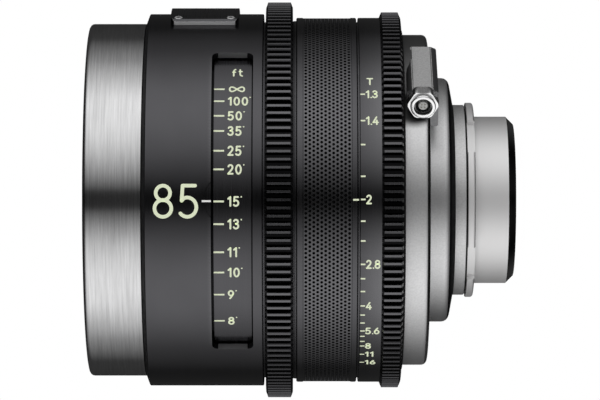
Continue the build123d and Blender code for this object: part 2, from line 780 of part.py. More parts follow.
with BuildPart() as front_ring_screws:
    for angle in front_screw_angles:
        hole = (cover_front - front_ring_flange, front_screw_circle * cos(radians(angle)),
                front_screw_circle * sin(radians(angle)))
        with BuildSketch(Plane(origin=hole, z_dir=(-1, 0, 0))):
            Circle(front_screw_head_radius)
        extrude(amount=front_screw_head_height)
        with BuildSketch(Plane(origin=hole, z_dir=(1, 0, 0))):
            Circle(front_screw_shank_radius)
        extrude(amount=front_screw_length)
front_ring_screws.part.label = "front_ring_screws"
export_step(front_ring_screws.part, "parts/front_ring_screws.step")

front_cell_front = cover_front - front_cell_reach
front_cell_rear = front_cell_front + front_cell_length
front_rows = element_rows(front_glass_shares, front_glass_radius, front_cell_front,
                          front_cell_length)
with BuildPart() as front_baffle_ring:
    baffle_outer = front_ring_bore - seat_clearance
    baffle_inner = front_glass_radius + end_gap
    baffle_front = rim_x + baffle_front_inset
    revolve(half_section(
        (baffle_front, baffle_outer),
        (baffle_front + baffle_thickness, baffle_outer),
        (baffle_front + baffle_rake + baffle_thickness, baffle_inner),
        (baffle_front + baffle_rake, baffle_inner)), axis=Axis.X)
front_baffle_ring.part.label = "front_baffle_ring"
export_step(front_baffle_ring.part, "parts/front_baffle_ring.step")

# Front glass group: a fixed cell, three elements and the ring that holds them in
with BuildPart() as front_cell:
    revolve(half_section(
        *stepped_bore(front_rows, front_cell_front, front_cell_rear),
        (front_cell_rear, tube_bore_radius - seat_clearance),
        (cover_front, tube_bore_radius - seat_clearance),
        (cover_front, front_cell_radius),
        (front_cell_front, front_cell_radius)), axis=Axis.X)
front_cell.part.label = "front_cell"
export_step(front_cell.part, "parts/front_cell.step")

with BuildPart() as front_retaining_ring:
    revolve(band(front_rows[0][1] - retaining_ring_length, front_rows[0][1],
                 front_glass_radius - retaining_ring_width, front_glass_radius), axis=Axis.X)
front_retaining_ring.part.label = "front_retaining_ring"
export_step(front_retaining_ring.part, "parts/front_retaining_ring.step")

# Focus group: a sliding cell, three elements, its ring and the pins that drive it
focus_cell_rear = focus_cell_front + focus_cell_length
focus_rows = element_rows(focus_glass_shares, focus_glass_radius, focus_cell_front,
                          focus_cell_length)
drive_pin_foot = tube_bore_radius - drive_pin_grip
drive_pin_head = focus_sleeve_bore_radius - end_gap
with BuildPart() as focus_cell:
    revolve(half_section(
        *stepped_bore(focus_rows, focus_cell_front, focus_cell_rear),
        (focus_cell_rear, tube_bore_radius - running_clearance),
        (focus_cell_front, tube_bore_radius - running_clearance)), axis=Axis.X)
    for angle in drive_pin_angles:
        with BuildSketch(radial_plane(drive_pin_x, drive_pin_foot, angle)):
            Circle(drive_pin_radius + seat_clearance)
        extrude(amount=drive_pin_grip + cut_overrun, mode=Mode.SUBTRACT)
focus_cell.part.label = "focus_cell"
export_step(focus_cell.part, "parts/focus_cell.step")

with BuildPart() as focus_retaining_ring:
    revolve(band(focus_rows[0][1] - retaining_ring_length, focus_rows[0][1],
                 focus_glass_radius - retaining_ring_width, focus_glass_radius), axis=Axis.X)
focus_retaining_ring.part.label = "focus_retaining_ring"
export_step(focus_retaining_ring.part, "parts/focus_retaining_ring.step")

with BuildPart() as focus_drive_pins:
    for angle in drive_pin_angles:
        with BuildSketch(radial_plane(drive_pin_x, drive_pin_foot, angle)):
            Circle(drive_pin_radius)
        extrude(amount=drive_pin_head - drive_pin_foot)
focus_drive_pins.part.label = "focus_drive_pins"
export_step(focus_drive_pins.part, "parts/focus_drive_pins.step")

# Helicoid carrier: slides on the main tube, threaded outside into the focus sleeve
with BuildPart() as helicoid_carrier:
    revolve(band(carrier_front, carrier_front + carrier_length,
                 tube_radius + running_clearance,
                 focus_sleeve_bore_radius - running_clearance), axis=Axis.X)
    for angle in drive_pin_angles:
        with BuildSketch(radial_plane(drive_pin_x, tube_radius, angle)):
            Circle(drive_pin_radius + seat_clearance)
        extrude(amount=focus_sleeve_bore_radius - tube_radius, mode=Mode.SUBTRACT)
helicoid_carrier.part.label = "helicoid_carrier"
export_step(helicoid_carrier.part, "parts/helicoid_carrier.step")

# Focus sleeve, its two bearings and the thrust ring behind it
bearing_radius = focus_sleeve_bore_radius - running_clearance
with BuildPart() as focus_sleeve:
    revolve(band(sleeve_front, focus_gear_rear, focus_sleeve_bore_radius,
                 focus_sleeve_radius), axis=Axis.X)
focus_sleeve.part.label = "focus_sleeve"
export_step(focus_sleeve.part, "parts/focus_sleeve.step")

with BuildPart() as focus_front_bearing:
    revolve(band(front_bearing_rear - focus_bearing_length, front_bearing_rear,
                 tube_radius + seat_clearance, bearing_radius), axis=Axis.X)
focus_front_bearing.part.label = "focus_front_bearing"
export_step(focus_front_bearing.part, "parts/focus_front_bearing.step")

with BuildPart() as focus_rear_bearing:
    revolve(band(focus_gear_rear - focus_bearing_length - end_gap, focus_gear_rear - end_gap,
                 tube_radius + seat_clearance, bearing_radius), axis=Axis.X)
focus_rear_bearing.part.label = "focus_rear_bearing"
export_step(focus_rear_bearing.part, "parts/focus_rear_bearing.step")

with BuildPart() as focus_thrust_ring:
    thrust_front = focus_gear_rear + end_gap
    revolve(band(thrust_front, thrust_front + thrust_ring_length,
                 tube_radius + seat_clearance,
                 middle_barrel_radius - middle_barrel_wall - seat_clearance), axis=Axis.X)
focus_thrust_ring.part.label = "focus_thrust_ring"
export_step(focus_thrust_ring.part, "parts/focus_thrust_ring.step")

# Scale drum under the windows and the toothed focus ring behind it
with BuildPart() as scale_drum:
    revolve(band(window_front - window_rear_rim, focus_gear_front,
                 focus_sleeve_radius + seat_clearance, drum_radius), axis=Axis.X)
scale_drum.part.label = "scale_drum"
export_step(scale_drum.part, "parts/scale_drum.step")

focus_tip_radius = gear_module * (focus_teeth + 2) / 2
with BuildPart() as focus_gear_ring:
    with BuildSketch(Plane.YZ.offset(focus_gear_front)):
        with BuildLine():
            Polyline(*gear_outline(focus_teeth, focus_tip_radius), close=True)
        make_face()
        Circle(focus_sleeve_radius + seat_clearance, mode=Mode.SUBTRACT)
    extrude(amount=focus_gear_width)
    revolve(half_section(
        (focus_gear_front, 0),
        (focus_gear_rear, 0),
        (focus_gear_rear, focus_tip_radius - focus_gear_chamfer_height),
        (focus_gear_rear - focus_gear_chamfer, focus_tip_radius),
        (focus_gear_front + focus_gear_chamfer, focus_tip_radius),
        (focus_gear_front, focus_tip_radius - focus_gear_chamfer_height)),
        axis=Axis.X, mode=Mode.INTERSECT)
focus_gear_ring.part.label = "focus_gear_ring"
export_step(focus_gear_ring.part, "parts/focus_gear_ring.step")

# Focus stop: a pin on the sleeve runs between the ends of a fixed block
stop_circle = (focus_sleeve_bore_radius + focus_sleeve_radius) / 2
stop_pin_turn = degrees(asin(stop_pin_radius / stop_circle))
stop_block_angle = 360 - focus_turn - 2 * stop_pin_turn - 2 * stop_margin
with BuildPart() as focus_stop_pin:
    pin_foot = (sleeve_front, stop_circle * cos(radians(stop_pin_angle)),
                stop_circle * sin(radians(stop_pin_angle)))
    with BuildSketch(Plane(origin=pin_foot, z_dir=(-1, 0, 0))):
        Circle(stop_pin_radius)
    extrude(amount=stop_pin_length)
focus_stop_pin.part.label = "focus_stop_pin"
export_step(focus_stop_pin.part, "parts/focus_stop_pin.step")

with BuildPart() as focus_stop_block:
    block_start = stop_pin_angle + focus_to_infinity + stop_pin_turn + stop_margin
    block_length = tube_flange_length + stop_room - end_gap
    with BuildSketch(axis_plane(block_start)):
        with Locations((tube_front, stop_circle)):
            Rectangle(block_length, focus_sleeve_radius - focus_sleeve_bore_radius,
                      align=(Align.MIN, Align.CENTER))
    revolve(axis=Axis.X, revolution_arc=stop_block_angle)
focus_stop_block.part.label = "focus_stop_block"
export_step(focus_stop_block.part, "parts/focus_stop_block.step")

# Middle barrel with its shallow grip band
with BuildPart() as middle_barrel:
    middle_bore = middle_barrel_radius - middle_barrel_wall
    grip_radius = middle_barrel_radius - grip_depth
    revolve(half_section(
        (middle_front, middle_bore),
        (middle_rear - middle_end_wall, middle_bore),
        (middle_rear - middle_end_wall, tube_radius + seat_clearance),
        (middle_rear, tube_radius + seat_clearance),
        (middle_rear, middle_barrel_radius - edge_chamfer),
        (middle_rear - edge_chamfer, middle_barrel_radius),
        (middle_rear - grip_rear_margin, middle_barrel_radius),
        (middle_rear - grip_rear_margin, grip_radius),
        (middle_front + grip_front_margin, grip_radius),
        (middle_front + grip_front_margin, middle_barrel_radius),
        (middle_front + edge_chamfer, middle_barrel_radius),
        (middle_front, middle_barrel_radius - edge_chamfer)), axis=Axis.X)
middle_barrel.part.label = "middle_barrel"
export_step(middle_barrel.part, "parts/middle_barrel.step")

# Iris ring: a plain scale band in front of the gear, on one bearing
iris_tip_radius = gear_module * (iris_teeth + 2) / 2
with BuildPart() as iris_gear_ring:
    with BuildSketch(Plane.YZ.offset(iris_gear_front)):
        with BuildLine():
            Polyline(*gear_outline(iris_teeth, iris_tip_radius), close=True)
        make_face()
    extrude(amount=iris_gear_width)
    revolve(half_section(
        (iris_gear_front, 0),
        (iris_rear, 0),
        (iris_rear, iris_tip_radius - 2 * gear_tooth_depth),
        (iris_rear - iris_rear_chamfer, iris_tip_radius),
        (iris_gear_front + iris_front_chamfer, iris_tip_radius),
        (iris_gear_front, iris_tip_radius - gear_tooth_depth)),
        axis=Axis.X, mode=Mode.INTERSECT)
    revolve(band(iris_front, iris_gear_front, 0, iris_band_radius), axis=Axis.X)
    revolve(band(iris_front, iris_rear, 0, iris_bore_radius), axis=Axis.X,
            mode=Mode.SUBTRACT)
    with BuildSketch(radial_plane(iris_pin_x, iris_bore_radius - cut_overrun, iris_pin_angle)):
        Circle(iris_pin_radius + seat_clearance)
    extrude(amount=cut_overrun + iris_pin_ring_grip + seat_clearance, mode=Mode.SUBTRACT)
iris_gear_ring.part.label = "iris_gear_ring"
export_step(iris_gear_ring.part, "parts/iris_gear_ring.step")

with BuildPart() as iris_bearing:
    bearing_front = iris_pin_x + iris_pin_radius + iris_bearing_gap
    revolve(band(bearing_front, rear_barrel_front, tube_radius + seat_clearance,
                 iris_bore_radius - running_clearance), axis=Axis.X)
iris_bearing.part.label = "iris_bearing"
export_step(iris_bearing.part, "parts/iris_bearing.step")

iris_pin_foot = tube_bore_radius - iris_pin_grip
with BuildPart() as iris_drive_pin:
    with BuildSketch(radial_plane(iris_pin_x, iris_pin_foot, iris_pin_angle)):
        Circle(iris_pin_radius)
    extrude(amount=iris_bore_radius + iris_pin_ring_grip - iris_pin_foot)
iris_drive_pin.part.label = "iris_drive_pin"
export_step(iris_drive_pin.part, "parts/iris_drive_pin.step")

# Iris: a base plate with nine pivot holes, the blades and the slotted drive ring
blade_pitch = 360 / blade_count
blade_rest_turn = -blade_ratio * iris_open_turn
pivot_places = [(blade_pivot_radius * cos(radians(blade_pitch * number)),
                 blade_pivot_radius * sin(radians(blade_pitch * number)))
                for number in range(blade_count)]
with BuildPart() as iris_base_plate:
    with BuildSketch(Plane.YZ.offset(iris_plate_front)):
        Circle(tube_bore_radius - seat_clearance)
        Circle(iris_plate_bore_radius, mode=Mode.SUBTRACT)
        with Locations(*pivot_places):
            Circle(blade_pin_radius + running_clearance, mode=Mode.SUBTRACT)
    extrude(amount=iris_plate_thickness)
iris_base_plate.part.label = "iris_base_plate"
export_step(iris_base_plate.part, "parts/iris_base_plate.step")


def slot_point(turn):
    """Where the drive ring must hold the first blade's pin after the ring turns this far."""
    lean = radians(blade_rest_turn + blade_ratio * turn + blade_arm_angle)
    across = blade_pivot_radius + blade_arm_length * cos(lean)
    up = blade_arm_length * sin(lean)
    back = radians(-turn)
    return (across * cos(back) - up * sin(back), across * sin(back) + up * cos(back))


slot_turns = [-iris_close_turn - drive_slot_overrun
              + (iris_close_turn + iris_open_turn + 2 * drive_slot_overrun) * step / 12
              for step in range(13)]
drive_slot_width = 2 * (blade_pin_radius + drive_slot_gap)
with BuildPart() as iris_drive_ring:
    with BuildSketch(Plane.YZ.offset(drive_ring_front)):
        Circle(tube_bore_radius - running_clearance)
        Circle(drive_ring_bore_radius, mode=Mode.SUBTRACT)
    extrude(amount=drive_ring_thickness)
    with BuildSketch() as one_slot:
        with BuildLine():
            Spline(*[slot_point(turn) for turn in slot_turns])
        trace(line_width=drive_slot_width)
        with Locations(slot_point(slot_turns[0]), slot_point(slot_turns[-1])):
            Circle(drive_slot_width / 2)
    with BuildSketch(Plane.YZ.offset(drive_ring_front)):
        for number in range(blade_count):
            add(one_slot.sketch, rotation=blade_pitch * number)
    extrude(amount=drive_slot_depth, mode=Mode.SUBTRACT)
    with BuildSketch(radial_plane(iris_pin_x, iris_pin_foot, iris_pin_angle)):
        Circle(iris_pin_radius + seat_clearance)
    extrude(amount=iris_pin_grip + cut_overrun, mode=Mode.SUBTRACT)
iris_drive_ring.part.label = "iris_drive_ring"
export_step(iris_drive_ring.part, "parts/iris_drive_ring.step")


def leaf_point(radius, angle):
    """A point of a blade in its pivot's own plane, from its radius and angle when open."""
    return (radius * cos(radians(angle)) - blade_pivot_radius, radius * sin(radians(angle)))


blade_middle_radius = (blade_inner_radius + blade_outer_radius) / 2
arm_tip = (blade_arm_length * cos(radians(blade_arm_angle)),
           blade_arm_length * sin(radians(blade_arm_angle)))
for number in range(blade_count):
    across, up = pivot_places[number]
    lean = radians(blade_pitch * number + blade_rest_turn)
    layer_x = iris_plate_rear + blade_spacing * (number + 1) - blade_thickness
    leaf_plane = Plane(origin=(layer_x, across, up), x_dir=(0, cos(lean), sin(lean)),
                       z_dir=(1, 0, 0))
    with BuildPart() as iris_blade:
        with BuildSketch(leaf_plane):
            with BuildLine():
                ThreePointArc(leaf_point(blade_outer_radius, 0),
                              leaf_point(blade_outer_radius, -blade_reach_angle / 2),
                              leaf_point(blade_outer_radius, -blade_reach_angle))
                ThreePointArc(leaf_point(blade_outer_radius, -blade_reach_angle),
                              leaf_point(blade_middle_radius, -blade_tip_angle),
                              leaf_point(blade_inner_radius, -blade_reach_angle))
                ThreePointArc(leaf_point(blade_inner_radius, -blade_reach_angle),
                              leaf_point(blade_inner_radius, -blade_reach_angle / 2),
                              leaf_point(blade_inner_radius, 0))
                Line(leaf_point(blade_inner_radius, 0), leaf_point(blade_outer_radius, 0))
            make_face()
            Circle(blade_eye_radius)
            with Locations((arm_tip[0] / 2, arm_tip[1] / 2)):
                SlotCenterToCenter(blade_arm_length, blade_arm_width,
                                   rotation=blade_arm_angle)
        extrude(amount=blade_thickness)
        with BuildSketch(leaf_plane):
            Circle(blade_pin_radius)
        extrude(amount=iris_plate_front - layer_x)
        with BuildSketch(leaf_plane):
            with Locations(arm_tip):
                Circle(blade_pin_radius)
        extrude(amount=drive_ring_front + drive_slot_depth - end_gap - layer_x)
    iris_blade.part.label = f"iris_blade_{number + 1}"
    export_step(iris_blade.part, f"parts/iris_blade_{number + 1}.step")

# Rear glass group: a fixed cell that reaches into the stub, three elements and its ring
rear_rows = element_rows(rear_glass_shares, rear_glass_radius, rear_cell_front,
                         rear_cell_length)
with BuildPart() as rear_cell:
    neck_x = rear_cell_front + rear_cell_neck_share * rear_cell_length
    tail_x = rear_cell_front + rear_cell_tail_share * rear_cell_length
    tail_radius = stub_bore_radius - seat_clearance
    revolve(half_section(
        *stepped_bore(rear_rows[:-1], rear_cell_front, rear_rows[1][2] + seat_lip),
        (rear_rows[2][1] - seat_lip, rear_rows[2][0] - seat_lip),
        (rear_rows[2][1], rear_rows[2][0] - seat_lip),
        (rear_rows[2][1], rear_rows[2][0] + glass_clearance),
        (rear_cell_rear, rear_rows[2][0] + glass_clearance),
        (rear_cell_rear, tail_radius),
        (tail_x, tail_radius),
        (neck_x, rear_cell_neck_radius),
        (rear_cell_front + rear_cell_flange, rear_cell_neck_radius),
        (rear_cell_front + rear_cell_flange, tube_bore_radius - seat_clearance),
        (rear_cell_front, tube_bore_radius - seat_clearance)), axis=Axis.X)
rear_cell.part.label = "rear_cell"
export_step(rear_cell.part, "parts/rear_cell.step")

with BuildPart() as rear_retaining_ring:
    revolve(band(rear_rows[2][2], rear_rows[2][2] + retaining_ring_length,
                 rear_rows[2][0] - retaining_ring_width, rear_rows[2][0]), axis=Axis.X)
rear_retaining_ring.part.label = "rear_retaining_ring"
export_step(rear_retaining_ring.part, "parts/rear_retaining_ring.step")

with BuildPart() as stub_baffle:
    baffle_rear = stub_length - edge_chamfer
    baffle_start = baffle_rear - baffle_ring_length
    revolve(half_section(
        (baffle_start, baffle_ring_bore_radius),
        (baffle_rear, stub_bore_radius - seat_clearance - edge_chamfer),
        (baffle_rear, stub_bore_radius - seat_clearance),
        (baffle_start, stub_bore_radius - seat_clearance)), axis=Axis.X)
stub_baffle.part.label = "stub_baffle"
export_step(stub_baffle.part, "parts/stub_baffle.step")

# The nine elements, group by group
for group_name, rows in (("front", front_rows), ("focus", focus_rows), ("rear", rear_rows)):
    for number, (radius, front, rear, front_bow, rear_bow) in enumerate(rows):
        with BuildPart() as element:
            revolve(glass_section(radius, front, rear, front_bow, rear_bow), axis=Axis.X)
        element.part.label = f"{group_name}_element_{number + 1}"
        export_step(element.part, f"parts/{group_name}_element_{number + 1}.step")
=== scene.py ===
import json
from math import acos, atan2, cos, hypot, pi, radians, sin, sqrt

import bmesh
import bpy
from mathutils import Matrix, Vector


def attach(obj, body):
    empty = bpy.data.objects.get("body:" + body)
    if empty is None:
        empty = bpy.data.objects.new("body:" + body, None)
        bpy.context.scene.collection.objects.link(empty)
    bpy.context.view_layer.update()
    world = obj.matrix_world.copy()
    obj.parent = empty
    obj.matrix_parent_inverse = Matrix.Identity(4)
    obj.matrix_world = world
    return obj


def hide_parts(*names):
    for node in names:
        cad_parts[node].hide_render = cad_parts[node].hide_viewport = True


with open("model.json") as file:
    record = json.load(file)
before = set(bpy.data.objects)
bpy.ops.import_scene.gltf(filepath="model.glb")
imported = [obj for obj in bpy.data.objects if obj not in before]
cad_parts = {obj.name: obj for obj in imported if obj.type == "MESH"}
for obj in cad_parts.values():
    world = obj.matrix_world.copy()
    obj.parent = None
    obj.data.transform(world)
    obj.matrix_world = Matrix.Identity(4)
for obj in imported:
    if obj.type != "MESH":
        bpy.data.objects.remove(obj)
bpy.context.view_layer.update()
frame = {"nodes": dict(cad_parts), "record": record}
nodes = frame["nodes"]
scene = bpy.context.scene
scene.view_settings.view_transform = "Standard"
mm = 0.001

# Camera: side on to the lens, a long focal length, centred 55.8 mm ahead of the seat and
# 1.32 m from the axis.


def placed(name, data):
    """A new object in the scene."""
    thing = bpy.data.objects.new(name, data)
    scene.collection.objects.link(thing)
    return thing


camera_ahead, camera_off = 55.8, 1320
camera_data = bpy.data.cameras.new("camera")
camera_data.sensor_width, camera_data.lens, camera_data.clip_start = 36, 244.0, 0.05
camera = placed("camera", camera_data)
camera.location = (-camera_ahead * mm, -camera_off * mm, -0.06 * mm)
camera.rotation_euler = (radians(90), 0, 0)
scene.camera = camera

# Surround: a white light tent above and below the lens. It is open in a narrow slit towards
# the camera, at the back and at its two ends, which gives the dark bands along the barrel's
# middle and edges and the dark ends.


def feed(tree, node, sockets):
    """Sets each named socket of a node to a value, or joins it to another node's output."""
    for name, value in sockets.items():
        if isinstance(value, bpy.types.NodeSocket):
            tree.links.new(value, node.inputs[name])
        else:
            node.inputs[name].default_value = value


def wired(tree, kind, sockets=None, **settings):
    """A new node with its settings made and its sockets fed."""
    node = tree.nodes.new(kind)
    for name, value in settings.items():
        setattr(node, name, value)
    feed(tree, node, sockets or {})
    return node


def worked(tree, operation, *values):
    """The result of a Math node."""
    return wired(tree, "ShaderNodeMath", dict(enumerate(values)), operation=operation).outputs[0]


def ranged(tree, value, low, high, to_low=0.0, to_high=1.0, **settings):
    """A value moved from one range to another."""
    return wired(tree, "ShaderNodeMapRange",
                 {"Value": value, "From Min": low, "From Max": high, "To Min": to_low,
                  "To Max": to_high}, **settings).outputs["Result"]


def mixed(tree, share, first, second):
    """One shader fading into another."""
    return wired(tree, "ShaderNodeMixShader", {"Fac": share, 1: first, 2: second}).outputs[0]


white = (1, 1, 1, 1)
tent_level, tent_dark = 1.12, (0.02, 0.02, 0.02, 1)
# degrees round the axis from the camera's side, over the top or underneath, and the tent's level
tent_levels = ((5.8, 0.02), (7.0, 0.09), (12, 0.20), (20, 0.40), (30, 0.65), (40, 0.83), (50, 0.92),
               (60, 0.93), (70, 0.90), (80, 0.73), (90, 0.53), (103, 0.28), (118, 0.14),
               (130, 0.04))
world = bpy.data.worlds.new("light_tent")
scene.world = world
world.use_nodes = True
nt = world.node_tree
nt.nodes.clear()
way = wired(nt, "ShaderNodeSeparateXYZ",
            {0: wired(nt, "ShaderNodeTexCoord").outputs["Generated"]}).outputs
tent_turn = worked(nt, "ARCTAN2", worked(nt, "ABSOLUTE", way["Z"]),
                   worked(nt, "MULTIPLY", way["Y"], -1))
tent_ramp = wired(nt, "ShaderNodeValToRGB", {"Fac": worked(nt, "DIVIDE", tent_turn, pi)})
for element in tent_ramp.color_ramp.elements:
    element.color = tent_dark
for elevation, level in tent_levels:
    tent_ramp.color_ramp.elements.new(elevation / 180).color = (level, level, level, 1)
ends = ranged(nt, worked(nt, "ABSOLUTE", way["X"]), 0.40, 0.82, tent_level, 0.04,
              interpolation_type="SMOOTHSTEP")
tent = wired(nt, "ShaderNodeBackground", {"Color": tent_ramp.outputs["Color"], "Strength": ends})
backdrop = wired(nt, "ShaderNodeBackground", {"Color": white, "Strength": 1.0})
rays = wired(nt, "ShaderNodeLightPath").outputs
seen = worked(nt, "MAXIMUM", rays["Is Camera Ray"], rays["Is Transmission Ray"])
wired(nt, "ShaderNodeOutputWorld",
      {"Surface": mixed(nt, seen, tent.outputs[0], backdrop.outputs[0])})

# Floor: a pale sweep well below the lens, which its mount holds up. It takes the lens's shadow
# and whitens with distance, and the light of the tent's lower half comes through it.


def object_place(tree):
    """Where a point lies in its object."""
    return wired(tree, "ShaderNodeTexCoord").outputs["Object"]


def vectors_worked(tree, operation, *values):
    """The results of a Vector Math node, as a vector and as a value."""
    return wired(tree, "ShaderNodeVectorMath", dict(enumerate(values)), operation=operation).outputs


floor_drop, floor_half = 350 * mm, 6
floor_mesh = bpy.data.meshes.new("floor")
floor_mesh.from_pydata([(x * floor_half, y * floor_half, -floor_drop)
                        for x, y in ((-1, -1), (1, -1), (1, 1), (-1, 1))], [], [(0, 1, 2, 3)])
floor = placed("floor", floor_mesh)
floor_material = bpy.data.materials.new("pale_sweep")
floor_material.use_nodes = True
nt = floor_material.node_tree
nt.nodes.clear()
paint = wired(nt, "ShaderNodeBsdfDiffuse", {"Color": (0.86, 0.86, 0.86, 1)}).outputs[0]
glow = wired(nt, "ShaderNodeEmission", {"Color": white}).outputs[0]
clear = wired(nt, "ShaderNodeBsdfTransparent").outputs[0]
fade = ranged(nt, vectors_worked(nt, "LENGTH", object_place(nt))["Value"], 0.25, 1.0, 0.5)
for_camera = mixed(nt, wired(nt, "ShaderNodeLightPath").outputs["Is Camera Ray"], clear,
                   mixed(nt, fade, paint, glow))
from_below = wired(nt, "ShaderNodeNewGeometry").outputs["Backfacing"]
wired(nt, "ShaderNodeOutputMaterial", {"Surface": mixed(nt, from_below, for_camera, clear)})
floor_mesh.materials.append(floor_material)

# Front ring: turned aluminium, 114 mm across, brushed round and round on the lathe. A matte
# box clamps on it. Six screws through its flange hold it to the main tube.


def eased(corners, arc_steps=4, most=0.45, lead=1.12):
    """The outline through (place, radius) corners. A third number rounds one with a small arc.

    An arc takes at most this share of a side, and a point that leads into it keeps the side flat.
    """
    outline = []
    count = len(corners)
    for i, (px, pr, *rest) in enumerate(corners):
        before, after = corners[i - 1], corners[(i + 1) % count]
        rounding = rest[0] if rest else 0
        if rounding <= 0:
            outline.append((px, pr))
            continue
        ax, ar = before[0] - px, before[1] - pr
        bx, br = after[0] - px, after[1] - pr
        la, lb = hypot(ax, ar), hypot(bx, br)
        ax, ar, bx, br = ax / la, ar / la, bx / lb, br / lb
        opening = acos(max(-1, min(1, ax * bx + ar * br)))
        slope = sin(opening / 2) / cos(opening / 2)
        run = min(rounding / max(0.01, abs(slope)), la * most, lb * most)
        rounding = run * slope
        mx, mr = ax + bx, ar + br
        lm = hypot(mx, mr)
        cx = px + mx / lm * rounding / sin(opening / 2)
        cr = pr + mr / lm * rounding / sin(opening / 2)
        start = atan2(pr + ar * run - cr, px + ax * run - cx)
        end = atan2(pr + br * run - cr, px + bx * run - cx)
        sweep = (end - start + pi) % (2 * pi) - pi
        outline.append((px + ax * run * lead, pr + ar * run * lead))
        for step in range(arc_steps + 1):
            angle = start + sweep * step / arc_steps
            outline.append((cx + rounding * cos(angle), cr + rounding * sin(angle)))
        outline.append((px + bx * run * lead, pr + br * run * lead))
    return outline


def settled(piece, body, replaces=()):
    """Fixes a piece to the body it moves with, and hides the solids it stands for."""
    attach(piece, body)
    if replaces:
        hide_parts(*replaces)


def smoothed(mesh, sharp):
    """Shades a mesh smooth, apart from edges sharper than this angle."""
    mesh.polygons.foreach_set("use_smooth", [True] * len(mesh.polygons))
    mesh.set_sharp_from_angle(angle=radians(sharp))


def meshed(bm, name):
    """A mesh from a bmesh, which is used up."""
    mesh = bpy.data.meshes.new(name)
    bm.to_mesh(mesh)
    bm.free()
    return mesh


def finished(bm, name, material, body=None, replaces=(), sharp=26):
    """Puts a bmesh drawn in mm into the scene as one piece in metres, riding on its body."""
    bmesh.ops.scale(bm, vec=(mm, mm, mm), verts=bm.verts)
    piece = placed(name, meshed(bm, name))
    smoothed(piece.data, sharp)
    piece.data.materials.append(material)
    if body:
        settled(piece, body, replaces)
    return piece


def bridged(bm, rows, joined=False, open_rows=False):
    """Fills between rows of points with faces. Joined rows are filled from last to first too."""
    around = len(rows[0])
    for low, high in zip(rows, rows[1:] + rows[:1] if joined else rows[1:]):
        for n in range(around - open_rows):
            following = (n + 1) % around
            bm.faces.new((low[n], low[following], high[following], high[n]))


def closed_shell(bm):
    """Merges a shell's doubles and points its faces outwards."""
    bmesh.ops.remove_doubles(bm, verts=bm.verts, dist=1e-5)
    bmesh.ops.recalc_face_normals(bm, faces=bm.faces)
    return bm


def turned(corners, segments=288):
    """A bmesh in mm: a closed outline of eased corners spun round X."""
    bm = bmesh.new()
    outline = eased(corners)
    turns = [2 * pi * number / segments for number in range(segments)]
    bridged(bm, [[bm.verts.new((x, -r * cos(angle), r * sin(angle))) for x, r in outline]
                 for angle in turns], joined=True)
    return closed_shell(bm)


def noise(tree, place, scale, detail=2.0, roughness=0.5):
    """A noise over the surface, from 0 to 1."""
    return wired(tree, "ShaderNodeTexNoise", {"Vector": place, "Scale": scale, "Detail": detail,
                                              "Roughness": roughness}).outputs["Fac"]


def apart(tree, place):
    """A place's X, Y and Z."""
    return wired(tree, "ShaderNodeSeparateXYZ", {0: place}).outputs


def lathe_lines():
    """Node group: masks of the fine lines left round the axis by the lathe, and of patches."""
    group = bpy.data.node_groups.new("lathe_lines", "ShaderNodeTree")
    for name, value in (("Pitch", 9000), ("Break-up", 30)):
        group.interface.new_socket(
            name, in_out="INPUT", socket_type="NodeSocketFloat").default_value = value
    for name in ("Lines", "Patches"):
        group.interface.new_socket(name, in_out="OUTPUT", socket_type="NodeSocketFloat")
    sizes = wired(group, "NodeGroupInput").outputs
    place = object_place(group)
    axes = apart(group, place)
    squeezed = wired(group, "ShaderNodeCombineXYZ", {
        axis: worked(group, "MULTIPLY", axes[axis], sizes[size])
        for axis, size in (("X", "Pitch"), ("Y", "Break-up"), ("Z", "Break-up"))})
    wired(group, "NodeGroupOutput", {
        "Lines": noise(group, squeezed.outputs[0], 1.0, 3.0, 0.65),
        "Patches": noise(group, place, 55.0)})
    return group


lathe_group = lathe_lines()
noise_low, noise_high = 0.3, 0.7


def new_finish(name, constants):
    """A new material whose shader has these plain values, with its node tree and its shader."""
    material = bpy.data.materials.new(name)
    material.use_nodes = True
    nt = material.node_tree
    bsdf = nt.nodes["Principled BSDF"]
    feed(nt, bsdf, constants)
    return material, nt, bsdf


def opaque(color, share=1.0):
    """A colour, made darker or lighter, with its alpha."""
    return tuple(c * share for c in color) + (1,)


def between(tree, share, first, second):
    """One colour fading into another."""
    return wired(tree, "ShaderNodeMix", {0: share, 6: first, 7: second},
                 data_type="RGBA").outputs[2]


def lathed(nt, bsdf, pitch, roughness, spread):
    """Varies a finish's gloss by the lathe's lines, and gives the masks of lines and patches."""
    marks = wired(nt, "ShaderNodeGroup", {"Pitch": pitch}, node_tree=lathe_group).outputs
    feed(nt, bsdf, {"Roughness": ranged(nt, marks["Lines"], noise_low, noise_high,
                                        roughness - spread, roughness + spread)})
    return marks["Lines"], marks["Patches"]


def turned_metal(name, color, roughness, spread, lines_height=0.0, pitch=9000, anisotropic=0.0,
                 tone=0.12):
    """A material for a turned piece: the lathe's lines vary its colour, gloss and height."""
    material, nt, bsdf = new_finish(name, {"Metallic": 1.0, "Anisotropic": anisotropic})
    lines, patches = lathed(nt, bsdf, pitch, roughness, spread)
    lightest = tuple(min(1, c) for c in opaque(color, 1 + tone))
    feed(nt, bsdf, {"Base Color": between(nt, patches, opaque(color, 1 - tone), lightest)})
    if lines_height:
        feed(nt, bsdf, {"Normal": wired(nt, "ShaderNodeBump", {
            "Distance": lines_height, "Height": lines}).outputs["Normal"]})
    if anisotropic:
        feed(nt, bsdf, {"Tangent": wired(nt, "ShaderNodeCombineXYZ", {"X": 1.0}).outputs[0]})
    return material


